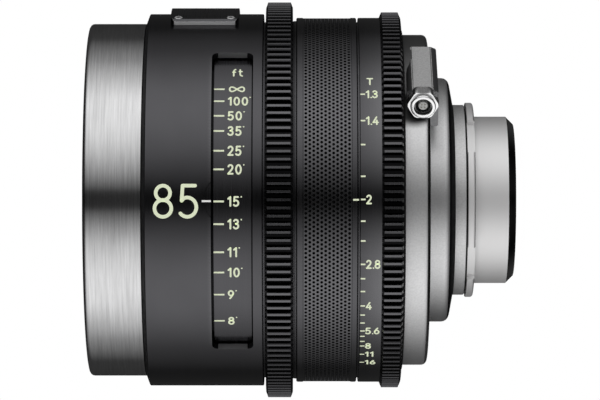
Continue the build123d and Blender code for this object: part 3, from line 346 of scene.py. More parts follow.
def shaded_by(material, mask):
    """Scales a finish's colour by a mask."""
    nt = material.node_tree
    bsdf = nt.nodes["Principled BSDF"]
    shade = wired(nt, "ShaderNodeVectorMath",
                  {0: bsdf.inputs["Base Color"].links[0].from_socket, "Scale": mask},
                  operation="SCALE")
    feed(nt, bsdf, {"Base Color": shade.outputs[0]})
    return material


def brushed(material, across, along, low, high):
    """Streaks a finish round the axis: across of them a metre, each about 1 / along radians."""
    nt = material.node_tree
    axes = apart(nt, object_place(nt))
    turn = worked(nt, "ARCTAN2", axes["Z"], worked(nt, "MULTIPLY", axes["Y"], -1.0))
    squeezed = wired(nt, "ShaderNodeCombineXYZ", {"X": worked(nt, "MULTIPLY", axes["X"], across),
                                                  "Y": worked(nt, "MULTIPLY", turn, along)})
    streaks = noise(nt, squeezed.outputs[0], 1.0, 3.0, 0.7)
    return shaded_by(material, ranged(nt, streaks, noise_low, noise_high, low, high))


brushed_silver = brushed(turned_metal("brushed_silver", (0.70, 0.70, 0.705), 0.2, 0.05, 0.0000005,
                                      pitch=14000, anisotropic=0.8), 1500, 2.5, 0.80, 1.10)
front_ring = turned([
    (-123.6, 53.8, 0.25), (-106.9, 53.8), (-106.9, 47.3), (-105.3, 47.3),
    (-105.3, 57.0, 0.2), (-123.6, 57.0, 1.6)], segments=360)
finished(front_ring, "brushed_front_ring", brushed_silver, "barrel",
         ["front_ring"])

# Front baffle: a black cone pressed into the front ring. Fine threads cut in its face keep
# stray light from the glass.


def anodised(name, color, roughness, grain_scale=2600, specular=0.5, tone=0.12, wear=0.0,
             metallic=0.0):
    """A black anodised finish: a fine blasted grain, with edges that have begun to show metal."""
    material, nt, bsdf = new_finish(name, {"Specular IOR Level": specular, "Metallic": metallic})
    patches = lathed(nt, bsdf, 5200, roughness, 0.05)[1]
    blasted = wired(nt, "ShaderNodeBump", {
        "Distance": 0.0000015, "Height": noise(nt, object_place(nt), grain_scale)})
    dyed = between(nt, patches, opaque(color, 1 - tone), opaque(color, 1 + tone))
    edges = wired(nt, "ShaderNodeNewGeometry").outputs["Pointiness"]
    worn = ranged(nt, edges, 0.53, 0.62, 0.0, wear)
    feed(nt, bsdf, {"Normal": blasted.outputs["Normal"],
                    "Base Color": between(nt, worn, dyed, (0.30, 0.30, 0.31, 1))})
    return material


baffle_black = anodised("baffle_black", (0.006, 0.006, 0.007), 0.6, specular=0.25)
thread_count = 12
threads = []
for number in range(thread_count):
    share = number / thread_count
    x, r = -117.6 + 2.4 * share, 53.7 - 11.8 * share
    threads += [(x, r), (x + 0.42, r - 0.18, 0.06)]
front_baffle = turned([(-119.2, 53.78), (-119.2, 53.3, 0.1), (-117.9, 53.1, 0.1)] + threads
                      + [(-115.2, 41.8, 0.1), (-115.0, 42.3), (-117.0, 53.78)])
finished(front_baffle, "front_baffle", baffle_black, "barrel",
         ["front_baffle_ring"])

# Glass: nine polished elements. Their coating leaves a faint green and violet sheen, and the
# ground rims are blackened.


def axis_reach(tree):
    """How far a point lies from the axis."""
    across = vectors_worked(tree, "MULTIPLY", object_place(tree), (0, 1, 1))["Vector"]
    return vectors_worked(tree, "LENGTH", across)["Value"]


def coated_glass(name, tint, sheen):
    """Clear optical glass whose coating tints what it mirrors, a little darker towards its rim."""
    material, nt, bsdf = new_finish(name, {"Transmission Weight": 1.0, "IOR": 1.5, "Roughness": 0.0,
                                           "Specular Tint": opaque(sheen)})
    depth = wired(nt, "ShaderNodeValToRGB", {"Fac": worked(nt, "MULTIPLY", axis_reach(nt), 24.0)})
    for element, share in zip(depth.color_ramp.elements, (1.0, 0.9)):
        element.color = opaque(tint, share)
    feed(nt, bsdf, {"Base Color": depth.outputs["Color"]})
    return material


def bowed(reach, place, bow, steps=10):
    """Points of a polished face from the axis out to its rim."""
    curve = (reach**2 + bow**2) / (2 * abs(bow))
    points = []
    for number in range(steps + 1):
        r = reach * number / steps
        fall = curve - sqrt(curve**2 - r**2)
        points.append((place + (fall if bow > 0 else -fall), r))
    return points


def painted(piece, material, chosen):
    """Gives the faces that a test picks another material."""
    piece.data.materials.append(material)
    for face in piece.data.polygons:
        if chosen(face):
            face.material_index = len(piece.data.materials) - 1
    return piece


coats = (coated_glass("green_coated_glass", (0.93, 0.97, 0.95), (0.45, 1.0, 0.62)),
         coated_glass("violet_coated_glass", (0.95, 0.95, 0.98), (0.72, 0.48, 1.0)))
ground_rim = anodised("ground_rim_black", (0.005, 0.005, 0.005), 0.75, specular=0.2)
flat_rim, rim_ease, rim_gap = 2, 0.2, 0.01
# radius, edge front, edge rear, front bow and rear bow of each element, in mm
elements = {
    "front": ((41.5, -112.492, -107.499, 7.501, 0.502), (40.006, -99.998, -96.486, 6.202, -3.511),
              (38.512, -95.894, -92.884, 3.010, -3.990)),
    "focus": ((36.0, -81.69, -77.70, -2.49, 5.01), (34.992, -67.71, -64.20, 4.5, 3.0),
              (33.984, -62.79, -54.78, -2.4, -3.6)),
    "rear": ((30.0, -30.495, -26.507, 3.989, -1.994), (27.0, -25.489, -22.477, 1.180, 3.500),
             (21.51, 1.617, 4.629, -1.994, 2.483)),
}
for group_name, body in (("front", "barrel"), ("focus", "focus_group"), ("rear", "barrel")):
    for number, (radius, front, rear, front_bow, rear_bow) in enumerate(elements[group_name]):
        front_face = bowed(radius - flat_rim, front - front_bow, front_bow)
        rear_face = [(x + rear + rear_bow, r)
                     for x, r in bowed(radius - flat_rim, 0, -rear_bow)]
        rim = [(front, radius - rim_ease), (front + rim_ease, radius - rim_gap),
               (rear - rim_ease, radius - rim_gap), (rear, radius - rim_ease)]
        element = turned(front_face + rim + rear_face[::-1], segments=160)
        piece = painted(
            finished(element, f"{group_name}_glass_{number + 1}", coats[number % 2], sharp=30),
            ground_rim, lambda face: hypot(face.center.y, face.center.z) > (radius - 1.0) * mm)
        settled(piece, body, [f"{group_name}_element_{number + 1}"])

# Barrel cover: a black anodised shell with a window on each side for the distance scale, and
# a scooped notch at the window's front edge that carries the index line.


def wrap_round(bm, radius):
    """Wraps a flat drawing of (place, arc, height) in mm round the axis, centred on the -Y side."""
    for vertex in bm.verts:
        angle, r = vertex.co.y / radius, radius + vertex.co.z
        vertex.co = (vertex.co.x, -r * cos(angle), r * sin(angle))


def flat_outline(points):
    """A bmesh with one flat face through (place, arc) points in mm."""
    bm = bmesh.new()
    bm.faces.new([bm.verts.new((x, y, 0)) for x, y in points])
    return bm


def slice_arcs(bm, step):
    """Cuts a flat drawing across at even arcs, so that it can bend smoothly."""
    low = min(v.co.y for v in bm.verts)
    high = max(v.co.y for v in bm.verts)
    at = low + step
    while at < high:
        bmesh.ops.bisect_plane(bm, geom=bm.verts[:] + bm.edges[:] + bm.faces[:],
                               plane_co=(0, at, 0), plane_no=(0, 1, 0))
        at += step


def thicken(bm, low, high):
    """Gives a flat drawing a thickness from one height to another."""
    for vertex in bm.verts:
        vertex.co.z = low
    raised = bmesh.ops.extrude_face_region(bm, geom=bm.faces[:])
    for item in raised["geom"]:
        if isinstance(item, bmesh.types.BMVert):
            item.co.z = high
    bmesh.ops.recalc_face_normals(bm, faces=bm.faces)


def moved(bm, matrix):
    """Moves and turns a bmesh."""
    bmesh.ops.transform(bm, matrix=matrix, verts=bm.verts)
    return bm


def spun(bm, angle, axis="X"):
    """Turns a bmesh round one of the frame's axes."""
    return moved(bm, Matrix.Rotation(angle, 4, axis))


def rounded_patch(low_x, high_x, half_arc, radius, steps=6):
    """A rectangle's (place, arc) outline with rounded corners."""
    points = []
    for cx, cy, start in ((high_x - radius, half_arc - radius, 0),
                          (low_x + radius, half_arc - radius, 90),
                          (low_x + radius, -half_arc + radius, 180),
                          (high_x - radius, -half_arc + radius, 270)):
        for number in range(steps + 1):
            angle = radians(start + 90 * number / steps)
            points.append((cx + radius * cos(angle), cy + radius * sin(angle)))
    return points


def as_shaped(piece):
    """A new mesh of a piece with its modifiers at work."""
    return bpy.data.meshes.new_from_object(
        piece.evaluated_get(bpy.context.evaluated_depsgraph_get()))


def carved(bm, cutters):
    """The bmesh left after other bmeshes are cut out of it."""
    base = placed("blank", meshed(bm, "blank"))
    tools = []
    for cutter in cutters:
        tools.append(placed("cutter", meshed(cutter, "cutter")))
        cut = base.modifiers.new("cut", "BOOLEAN")
        cut.object = tools[-1]
        cut.solver = "EXACT"
    shaped = as_shaped(base)
    result = bmesh.new()
    result.from_mesh(shaped)
    for spare in [base] + tools:
        bpy.data.objects.remove(spare)
    bpy.data.meshes.remove(shaped)
    return result


def outwardness(face):
    """1 for a face that looks straight out from the axis, -1 straight in, 0 across."""
    return face.normal.dot(Vector((0, face.center.y, face.center.z)).normalized())


def true_rounds(piece, square=0.9995):
    """Points the normals of faces turned on the lathe straight out, whatever was cut from them."""
    mesh = piece.data
    normals = [tuple(corner.vector) for corner in mesh.corner_normals]
    for polygon in mesh.polygons:
        facing = outwardness(polygon)
        for corner in polygon.loop_indices:
            if abs(facing) > square:
                at = mesh.vertices[mesh.loops[corner].vertex_index].co
                out = Vector((0, at.y, at.z)).normalized()
                normals[corner] = tuple(out if facing > 0 else -out)
            elif abs(polygon.normal.x) > square:
                normals[corner] = tuple(polygon.normal)
    mesh.normals_split_custom_set(normals)


cover_radius, arc_step = 60.2, 1.0
arc = radians(1) * cover_radius
window_middle, window_half, window_corner = -77.0, 6.5, 1.9
window_half_turn, window_lean = 50.75, 0.55
notch_edge, notch_straight, notch_scoop, notch_half, notch_depth = -83.1, 0.4, 2.2, 5.5, 0.9
cover_black = anodised("cover_black", (0.096, 0.095, 0.101), 0.185, wear=0.35, metallic=1.0)
cover_shell = turned([
    (-104.9, 44.6), (-102.9, 44.6), (-102.9, 58.2), (-67.4, 58.2),
    (-67.4, cover_radius, 0.35), (-69.6, cover_radius), (-70.3, cover_radius),
    (-83.1, cover_radius), (-85.3, cover_radius), (-86.4, cover_radius),
    (-104.1, cover_radius, 0.4), (-105.1, 57.5, 0.2)], segments=360)
cover_cutters = []
for side in (1, -1):
    window = flat_outline([
        (x + window_middle, y - window_lean * side * arc) for x, y in
        rounded_patch(-window_half, window_half, window_half_turn * arc, window_corner, 9)])
    scoop = [(notch_edge - notch_straight - notch_scoop * (1 - (n / 10) ** 2) ** 0.8,
              notch_half * n / 10) for n in range(10, -11, -1)]
    notch = flat_outline([(notch_edge, -5.4), (notch_edge, 5.4)] + scoop)
    for cutter, depth in ((window, 4.0), (notch, notch_depth)):
        slice_arcs(cutter, arc_step)
        thicken(cutter, -depth, 3.0)
        wrap_round(cutter, cover_radius)
        cover_cutters.append(cutter if side > 0 else spun(cutter, pi))
cover_piece = finished(carved(cover_shell, cover_cutters), "windowed_cover", cover_black)
# Painted light: the window's end walls take a pale grey copy of the cover's black.
painted(cover_piece, anodised("window_wall", (0.34, 0.34, 0.35), 0.45, metallic=1.0),
        lambda face: (abs(face.normal.x) < 0.2 and abs(outwardness(face)) < 0.3
                      and abs(face.center.x - window_middle * mm) < 4.7 * mm
                      and abs(face.center.z) > 40 * mm))
# Painted shade: the cover's faces that look forward, the window's rear walls among them, take the
# near-black baffle finish.
painted(cover_piece, baffle_black, lambda face: face.normal.x < -0.3)
true_rounds(cover_piece)
settled(cover_piece, "barrel", ["barrel_cover"])

# Badge plate: a black anodised plate left bare on the crown, eased along its edges and held by
# four socket screws.


def applied(piece):
    """Makes a piece's modifiers part of its mesh."""
    shaped = as_shaped(piece)
    shaped.name = piece.name
    piece.modifiers.clear()
    piece.data = shaped


badge_half_turn, badge_corner, badge_top, badge_rim_width = 22.3, 2.2, 1.9, 0.6
badge_screw_columns, badge_screw_turns, badge_bore = (-94.6, -77.9), (-20.3, 20.3), 1.42
badge_black = anodised("badge_black", (0.10, 0.10, 0.105), 0.3, wear=0.3, metallic=1.0)
badge = flat_outline(rounded_patch(-97.1, -75.4, badge_half_turn * arc, badge_corner))
slice_arcs(badge, 1.2)
thicken(badge, 0.03, badge_top)
crown_rim = [edge for edge in badge.edges if all(v.co.z > badge_top - 0.1 for v in edge.verts)
             and any(abs(face.normal.y) > 0.9 for face in edge.link_faces)]
bmesh.ops.bevel(badge, geom=crown_rim, offset=badge_rim_width, segments=1, affect="EDGES")
wrap_round(badge, cover_radius)
spun(badge, -pi / 2)
bores = []
for x in badge_screw_columns:
    for turn in badge_screw_turns:
        lean = Matrix.Rotation(radians(turn), 4, "X") @ Matrix.Translation((x, 0, 62.1))
        bores.append(bmesh.new())
        bmesh.ops.create_cone(bores[-1], cap_ends=True, segments=40, radius1=badge_bore,
                              radius2=badge_bore, depth=1.0, matrix=lean)
badge = finished(carved(badge, bores), "bare_badge_plate", badge_black)
ease = badge.modifiers.new("eased_edges", "BEVEL")
ease.width, ease.segments = 0.08 * mm, 2
ease.limit_method, ease.angle_limit = "ANGLE", radians(30)
applied(badge)
# Painted light: the plate's long side faces take a pale copy of its finish.
painted(badge, anodised("badge_rim", (0.9, 0.9, 0.91), 0.5),
        lambda face: (outwardness(face) < 0.5 and abs(face.normal.x) < 0.6
                      and abs(face.center.y) > 20 * mm))
settled(badge, "barrel", ["badge_plate"])

# Socket screws: steel caps with a hexagon recess, four in the badge plate, made pale as painted
# light, and six blackened ones in the front ring's flange.


def turn_repeat():
    """A node tree that repeats a part round X, in columns along it, each column staggered."""
    tree = bpy.data.node_groups.new("turn_repeat", "GeometryNodeTree")
    for name, kind, value in (("Part", "Object", None), ("Per turn", "Int", 6),
                              ("Columns", "Int", 1), ("Pitch", "Float", 0.0),
                              ("First place", "Float", 0.0), ("First angle", "Float", 0.0),
                              ("Stagger", "Float", 0.0), ("Weld", "Float", 0.0),
                              ("Material", "Material", None)):
        socket = tree.interface.new_socket(name, in_out="INPUT", socket_type="NodeSocket" + kind)
        if value is not None:
            socket.default_value = value
    tree.interface.new_socket("Geometry", in_out="OUTPUT", socket_type="NodeSocketGeometry")
    sizes = wired(tree, "NodeGroupInput").outputs
    per_turn = sizes["Per turn"]

    def sums(operation, first, second):
        return worked(tree, operation, first, second)

    index = wired(tree, "GeometryNodeInputIndex").outputs[0]
    column = worked(tree, "FLOOR", sums("DIVIDE", sums("ADD", index, 0.5), per_turn))
    step = sums("SUBTRACT", index, sums("MULTIPLY", column, per_turn))
    stagger = sums("MULTIPLY", sizes["Stagger"], sums("MODULO", column, 2))
    turn = sums("MULTIPLY", sums("DIVIDE", sums("ADD", step, stagger), per_turn), 2 * pi)
    angle = sums("ADD", turn, sizes["First angle"])
    along = sums("ADD", sums("MULTIPLY", column, sizes["Pitch"]), sizes["First place"])
    where, lean = [wired(tree, "ShaderNodeCombineXYZ", {"X": x}).outputs[0] for x in (along, angle)]
    points = wired(tree, "GeometryNodeMeshLine",
                   {"Count": sums("MULTIPLY", per_turn, sizes["Columns"])})
    place = wired(tree, "GeometryNodeSetPosition",
                  {"Geometry": points.outputs[0], "Position": where})
    part = wired(tree, "GeometryNodeObjectInfo", {"Object": sizes["Part"], "As Instance": True})
    copies = wired(tree, "GeometryNodeInstanceOnPoints", {
        "Points": place.outputs[0], "Instance": part.outputs["Geometry"], "Rotation": lean})
    real = wired(tree, "GeometryNodeRealizeInstances", {0: copies.outputs[0]})
    weld = wired(tree, "GeometryNodeMergeByDistance",
                 {"Geometry": real.outputs[0], "Distance": sizes["Weld"]})
    finish = wired(tree, "GeometryNodeSetMaterial",
                   {"Geometry": weld.outputs[0], "Material": sizes["Material"]})
    wired(tree, "NodeGroupOutput", {"Geometry": finish.outputs[0]})
    return tree


repeat_tree = turn_repeat()


def repeated(bm, name, material, sharp=30, **sizes):
    """One mesh of a small part, drawn in mm at the top of the axis, repeated by the tree."""
    bmesh.ops.scale(bm, vec=(mm, mm, mm), verts=bm.verts)
    part = placed("one_part", meshed(bm, "one_part"))
    holder = placed(name, bpy.data.meshes.new(name))
    run = holder.modifiers.new("repeat", "NODES")
    run.node_group = repeat_tree
    values = {"Part": part, "Material": material, "Weld": 1e-7, **sizes}
    for item in repeat_tree.interface.items_tree:
        if item.in_out == "INPUT" and item.name in values:
            run[item.identifier] = values[item.name]
    bpy.context.view_layer.update()
    applied(holder)
    bpy.data.objects.remove(part)
    smoothed(holder.data, sharp)
    return holder


def hexagon_turn(angle):
    """The angle from the middle of a hexagon's nearest flat."""
    return (angle + pi / 6) % (pi / 3) - pi / 6


def circled(bm, radius, height, count, start=0.0):
    """A row of points round Z."""
    return [bm.verts.new((radius * cos(2 * pi * n / count + start),
                          radius * sin(2 * pi * n / count + start), height)) for n in range(count)]


def socket_cap(radius, height, recess, sides=24, ease=0.2, recess_floor=0.35):
    """A socket screw's head in mm, standing up along Z from the origin."""
    bm = bmesh.new()
    rows = [circled(bm, r, z, sides)
            for z, r in ((0.0, radius), (height - ease, radius), (height, radius - ease))]
    turns = [2 * pi * n / sides for n in range(sides)]
    for z in (height, height * recess_floor):
        rows.append([bm.verts.new((recess * cos(angle) / cos(hexagon_turn(angle)),
                                   recess * sin(angle) / cos(hexagon_turn(angle)), z))
                     for angle in turns])
    bridged(bm, rows)
    bm.faces.new(rows[-1])
    bm.faces.new(rows[0][::-1])
    return bm


def cap_at(cap, out, lean=0.0, swing=0.0):
    """A cap swung to look along the axis, moved out from it, and then leant round it."""
    spun(cap, swing, "Y")
    return spun(moved(cap, Matrix.Translation((0, 0, out))), lean)


def screws(cap, name, material, slot, replaces, **sizes):
    """A set of like screw heads in the barrel."""
    settled(repeated(cap, name, material, **sizes), "barrel", replaces)


screw_black = turned_metal("blackened_steel", (0.09, 0.09, 0.095), 0.3, 0.06, pitch=4000)
# Painted light: the badge plate's screw caps are much paler than the dark steel of the other
# screws.
bright_cap = turned_metal("badge_cap_steel", (0.95, 0.95, 0.96), 0.55, 0.06, pitch=4000)
for number, turn in enumerate(badge_screw_turns):
    cap = cap_at(socket_cap(1.36, 1.0, 0.62), 61.12, lean=radians(turn))
    screws(cap, f"badge_screw_pair_{number + 1}", bright_cap, "dark_steel",
           ["badge_screws"] if number == 0 else (), **{
               "Per turn": 1, "Columns": 2, "First place": badge_screw_columns[0] * mm,
               "Pitch": (badge_screw_columns[1] - badge_screw_columns[0]) * mm})
screws(cap_at(socket_cap(1.9, 1.5, 0.95), 49.4, swing=-pi / 2), "front_ring_caps", screw_black,
       "dark_steel", ["front_ring_screws"],
       **{"Per turn": 6, "First place": -106.9 * mm, "First angle": -pi / 3})

# Scale drum: matt black, seen through the windows, turning with the focus ring. A groove runs
# round it at each edge of the window.


def shade_painted_below(material, radius, edge=0.12, depth=0.1):
    """Paints shade into the pits of a finish, which lie nearer the axis than radius, in mm."""
    nt = material.node_tree
    return shaded_by(material, ranged(nt, axis_reach(nt), (radius - edge) * mm, radius * mm, depth))


drum_radius, groove_radius = 57.6, 56.6
# Painted shade: the drum's grooves, nearer the axis than its skin, are darkened.
drum_black = shade_painted_below(anodised("drum_black", (0.095, 0.094, 0.10), 0.24, metallic=1.0),
                            drum_radius - 0.2, 0.3)
drum = turned([
    (-86.6, 55.52), (-66.72, 55.52), (-66.72, drum_radius, 0.15),
    (-70.15, drum_radius), (-70.15, groove_radius), (-70.95, groove_radius),
    (-70.95, drum_radius), (-82.7, drum_radius), (-82.7, groove_radius),
    (-83.6, groove_radius), (-83.6, drum_radius), (-86.6, drum_radius, 0.15)],
    segments=360)
finished(drum, "scale_drum_skin", drum_black, "focus_ring", ["scale_drum"])

# Focus gear: 158 teeth of 0.8 module hobbed into a black anodised ring, their ends chamfered so
# that a pinion can slide in.


def gear_tooth(tip, root, front, rear, tip_width, root_width, pitch_angle, chamfer, shoulder=1.75,
               tip_ease=0.12, web=1.5):
    """One tooth with half a gap on each side, in mm, pointing up along Z."""
    half_pitch = pitch_angle / 2
    tip_turn, root_turn = tip_width / 2 / tip, root_width / 2 / root
    ease_turn = tip_turn * 0.72
    half_rows = [(root, half_pitch), (root, root_turn), (tip - tip_ease, tip_turn),
                 (tip, ease_turn)]
    rows = [(r, -a) for r, a in half_rows] + half_rows[::-1]
    bm = bmesh.new()

    def up(x, r, a):
        return bm.verts.new((x, -r * sin(a), r * cos(a)))

    stations = [(front, tip - shoulder), (front + chamfer, tip), (rear - chamfer, tip),
                (rear, tip - shoulder)]
    columns = [[up(x, min(r, limit), a) for r, a in rows] for x, limit in stations]
    bridged(bm, columns, open_rows=True)
    for column in (columns[0], columns[-1]):
        foot = [up(column[0].co.x, root - web, a) for a in (half_pitch, -half_pitch)]
        bm.faces.new(column + foot)
    bmesh.ops.remove_doubles(bm, verts=bm.verts, dist=1e-4)
    bmesh.ops.recalc_face_normals(bm, faces=bm.faces)
    if max(bm.faces, key=lambda f: f.calc_center_median().z).normal.z < 0:
        bmesh.ops.reverse_faces(bm, faces=bm.faces)
    return bm


def geared(name, teeth, tip, root, front, rear, root_width, chamfer, hub, replaces=()):
    """A ring of teeth on its hub, riding on its ring."""
    black = anodised(f"{name}_gear_black", (0.088, 0.087, 0.093), 0.25, grain_scale=1800, wear=0.3,
                     metallic=1.0)
    # Painted shade: the tooth flanks and the gaps between the teeth are darkened.
    shade_painted_below(black, tip - 0.06, 0.3, 0.12)
    pitch_angle = 2 * pi / teeth
    tooth = gear_tooth(tip, root, front, rear, 0.9, root_width, pitch_angle, chamfer)
    ring = repeated(tooth, f"{name}_gear_teeth", black, sharp=35, **{
        "Per turn": teeth, "First angle": pitch_angle / 2})
    settled(ring, f"{name}_ring", replaces)
    finished(turned(hub), f"{name}_gear_hub", black, f"{name}_ring")


geared("focus", 158, 64.0, 62.2, -66.7, -58.1, 1.7, 0.65,
       [(-66.7, 55.52), (-58.1, 55.52), (-58.1, 60.8), (-66.7, 60.8)], ["focus_gear_ring"])

# Middle barrel: black anodised, its grip band knurled with rows of small round dimples that
# stand staggered between two fine grooves.


def dimple_tile(width, arc_width, radius, hole, depth, sides=8):
    """One shallow dimple in a patch of skin, in mm, lying at the top of the axis."""
    bm = bmesh.new()
    half_x, half_y = width / 2, arc_width / 2
    rim = [(half_x, 0), (half_x, half_y), (0, half_y), (-half_x, half_y), (-half_x, 0),
           (-half_x, -half_y), (0, -half_y), (half_x, -half_y)]

    def ring_at(points, height):
        return [bm.verts.new((x, -(radius + height) * sin(y / radius),
                              (radius + height) * cos(y / radius))) for x, y in points]

    def circle(r):
        return [(r * cos(2 * pi * n / sides), r * sin(2 * pi * n / sides)) for n in range(sides)]

    loops = [ring_at(rim, 0.0)] + [
        ring_at(circle(hole * share), -depth * fall)
        for share, fall in ((1.0, 0.0), (0.86, 0.6), (0.5, 1.0))]
    bridged(bm, loops)
    bm.faces.new(loops[-1])
    bmesh.ops.recalc_face_normals(bm, faces=bm.faces)
    if bm.faces[0].normal.z < 0:
        bmesh.ops.reverse_faces(bm, faces=bm.faces)
    return bm


grip_radius, barrel_radius, liner_radius, bearing_radius = 58.85, 59.0, 56.4, 47.52
columns, per_turn, pitch = 12, 264, 1.235
barrel_front, barrel_rear, grip_front, grip_length = -57.0, -37.7, -54.8, 15.2
band_start = grip_front + (grip_length - columns * pitch) / 2
band_end = band_start + columns * pitch
# Painted shade: the dimples' pits are darkened nearly to black.
grip_black = shade_painted_below(anodised("grip_black", (0.14, 0.139, 0.146), 0.205, grain_scale=1500,
                                     metallic=1.0), grip_radius - 0.05, 0.1, 0.04)
tile = dimple_tile(pitch, 2 * pi * grip_radius / per_turn, grip_radius, 0.47, 0.42)
dimples = repeated(tile, "dimpled_grip", grip_black, sharp=50, **{
    "Per turn": per_turn, "Columns": columns, "Pitch": pitch * mm, "Stagger": 0.5,
    "First place": (band_start + pitch / 2) * mm, "Weld": 2e-6})
settled(dimples, "barrel")
barrel_black = anodised("barrel_black", (0.105, 0.104, 0.11), 0.215, wear=0.35, metallic=1.0)
lip_front = barrel_front - 1.05
front_lip = turned([
    (barrel_front, 58.0), (lip_front, 57.9, 0.05), (lip_front, bearing_radius),
    (barrel_front, bearing_radius), (barrel_front, liner_radius),
    (band_start, liner_radius), (band_start, 58.2), (band_start, grip_radius, 0.05),
    (band_start - 0.25, grip_radius, 0.05), (band_start - 0.3, barrel_radius, 0.08),
    (barrel_front + 0.3, barrel_radius, 0.2), (barrel_front, barrel_radius - 0.3, 0.1)],
    segments=360)
finished(front_lip, "middle_front_lip", barrel_black, "barrel",
         ["middle_barrel"])
rear_lip = turned([
    (band_end, liner_radius), (-40.6, liner_radius), (-40.6, bearing_radius),
    (barrel_rear, bearing_radius), (barrel_rear, barrel_radius - 0.3, 0.1),
    (barrel_rear - 0.3, barrel_radius, 0.2), (band_end + 0.3, barrel_radius, 0.08),
    (band_end + 0.25, grip_radius, 0.05), (band_end, grip_radius, 0.05)], segments=360)
finished(rear_lip, "middle_rear_lip", barrel_black, "barrel")
liner = turned([(band_start, liner_radius), (band_end, liner_radius),
                (band_end, 58.2), (band_start, 58.2)], segments=180)
finished(liner, "middle_barrel_liner", barrel_black, "barrel")

# Iris ring: a plain band for the T-stop scale in front of a gear of 150 teeth. Its rear edge is
# chamfered steeply down towards the silver barrel.
iris_band = turned([
    (-37.6, 55.0), (-30.0, 55.0), (-30.0, barrel_radius),
    (-36.95, barrel_radius, 0.2), (-37.15, 58.8, 0.1), (-37.15, 57.6), (-37.6, 57.6)],
    segments=360)
finished(iris_band, "iris_scale_band", barrel_black, "iris_ring",
         ["iris_gear_ring"])
geared("iris", 150, 60.8, 59.0, -30.3, -23.5, 1.6, 0.75, [
    (-30.3, 55.0), (-23.5, 55.0), (-23.5, 57.4, 0.3), (-24.0, 58.0), (-30.3, 58.0)])

# Printed marks: the distance scale on the drum, the T-stop scale on the iris ring, their index
# lines and the focal length, all filled with pale luminous paint.


def mark_paint(name, dark, light, glow):
    """Paint that fills an engraved mark: a little blotched, with a faint painted glow that
    brightens it.
    """
    material, nt, bsdf = new_finish(name, {"Roughness": 0.55, "Emission Color": opaque(glow),
                                           "Emission Strength": 0.30})
    blotch = noise(nt, object_place(nt), 900)
    feed(nt, bsdf, {"Base Color": between(nt, blotch, opaque(dark), opaque(light))})
    return material


def oval(cx, cy, rx, ry, start, end, steps=20):
    """Points on part of an oval, counted in degrees from the right and anticlockwise."""
    turns = [radians(start + (end - start) * n / steps) for n in range(steps + 1)]
    return [(cx + rx * cos(t), cy + ry * sin(t)) for t in turns]


# width, then the pen's paths in a box one unit high
letterforms = {
    "0": (0.54, [oval(0.27, 0.5, 0.27, 0.5, 0, 360, 32)]),
    "1": (0.26, [[(0.0, 0.80), (0.24, 1.0)], [(0.24, 1.0), (0.24, 0.0)]]),
    "2": (0.50, [oval(0.24, 0.74, 0.24, 0.26, 160, -22) + [(0.40, 0.50), (0.0, 0.0)],
                 [(0.0, 0.0), (0.50, 0.0)]]),
    "3": (0.50, [oval(0.22, 0.77, 0.23, 0.23, 155, -90), oval(0.22, 0.27, 0.27, 0.27, 90, -155)]),
    "4": (0.58, [[(0.40, 1.0), (0.0, 0.27)], [(0.0, 0.27), (0.58, 0.27)],
                 [(0.43, 0.55), (0.43, 0.0)]]),
    "5": (0.50, [[(0.46, 1.0), (0.06, 1.0)], [(0.06, 1.0), (0.03, 0.52)],
                 [(0.03, 0.52)] + oval(0.21, 0.31, 0.29, 0.31, 112, -140)]),
    "6": (0.52, [oval(0.26, 0.31, 0.26, 0.31, 0, 360, 28),
                 [(0.04, 0.46), (0.16, 0.70), (0.36, 1.0)]]),
    "8": (0.54, [oval(0.27, 0.765, 0.23, 0.235, 0, 360, 28),
                 oval(0.27, 0.27, 0.27, 0.27, 0, 360, 28)]),
    "9": (0.52, [oval(0.26, 0.69, 0.26, 0.31, 0, 360, 28),
                 [(0.48, 0.54), (0.36, 0.30), (0.16, 0.0)]]),
    ".": (0.0, [[(0.0, 0.0)]]),
    "'": (0.0, [[(0.0, 1.02)]]),
    "f": (0.32, [[(0.10, 0.0), (0.10, 0.68)] + oval(0.34, 0.68, 0.24, 0.32, 180, 100, 8),
                 [(0.0, 0.58), (0.28, 0.58)]]),
    "t": (0.34, [[(0.10, 0.95), (0.10, 0.26)] + oval(0.34, 0.26, 0.24, 0.26, 180, 265, 8),
                 [(0.0, 0.68), (0.30, 0.68)]]),
    "T": (0.66, [[(0.0, 1.0), (0.66, 1.0)], [(0.33, 1.0), (0.33, 0.0)]]),
    "∞": (2.2, [[(1.1 + 1.1 * cos(pi * n / 24), 0.5 + 0.42 * sin(pi * n / 12))
                 for n in range(49)]]),
}


def pen_line(bm, points, pen, longest=0.4):
    """Draws a flat round-ended line of one width along points."""
    path = [Vector((*points[0], 0))]
    for x, y in points[1:]:
        last, target = path[-1], Vector((x, y, 0))
        steps = max(1, int((target - last).length / longest))
        path += [last.lerp(target, (n + 1) / steps) for n in range(steps)]
    closed = len(path) > 3 and (path[0] - path[-1]).length < 1e-6
    if closed:
        path.pop()
    count = len(path)
    rails = []
    for n, at in enumerate(path):
        behind = path[n - 1] if closed or n else at
        ahead = path[(n + 1) % count] if closed or n < count - 1 else at
        along = (ahead - behind).normalized() if count > 1 else Vector((1, 0, 0))
        side = Vector((-along.y, along.x, 0)) * pen / 2
        rails.append((bm.verts.new(at + side), bm.verts.new(at - side), along, at))
    for n in range(count if closed else count - 1):
        one, two = rails[n], rails[(n + 1) % count]
        bm.faces.new((one[0], one[1], two[1], two[0]))
    if closed:
        return
    for (left, right, along, at), sign in ((rails[0], -1), (rails[-1], 1)):
        start = atan2(along.y, along.x) - sign * pi / 2
        turns = [start + pi * n / 6 for n in range(1, 6)]
        rim = [bm.verts.new(at + Vector((cos(turn), sin(turn), 0)) * pen / 2) for turn in turns]
        bm.faces.new([right] + rim + [left] if sign > 0 else [left] + rim + [right])


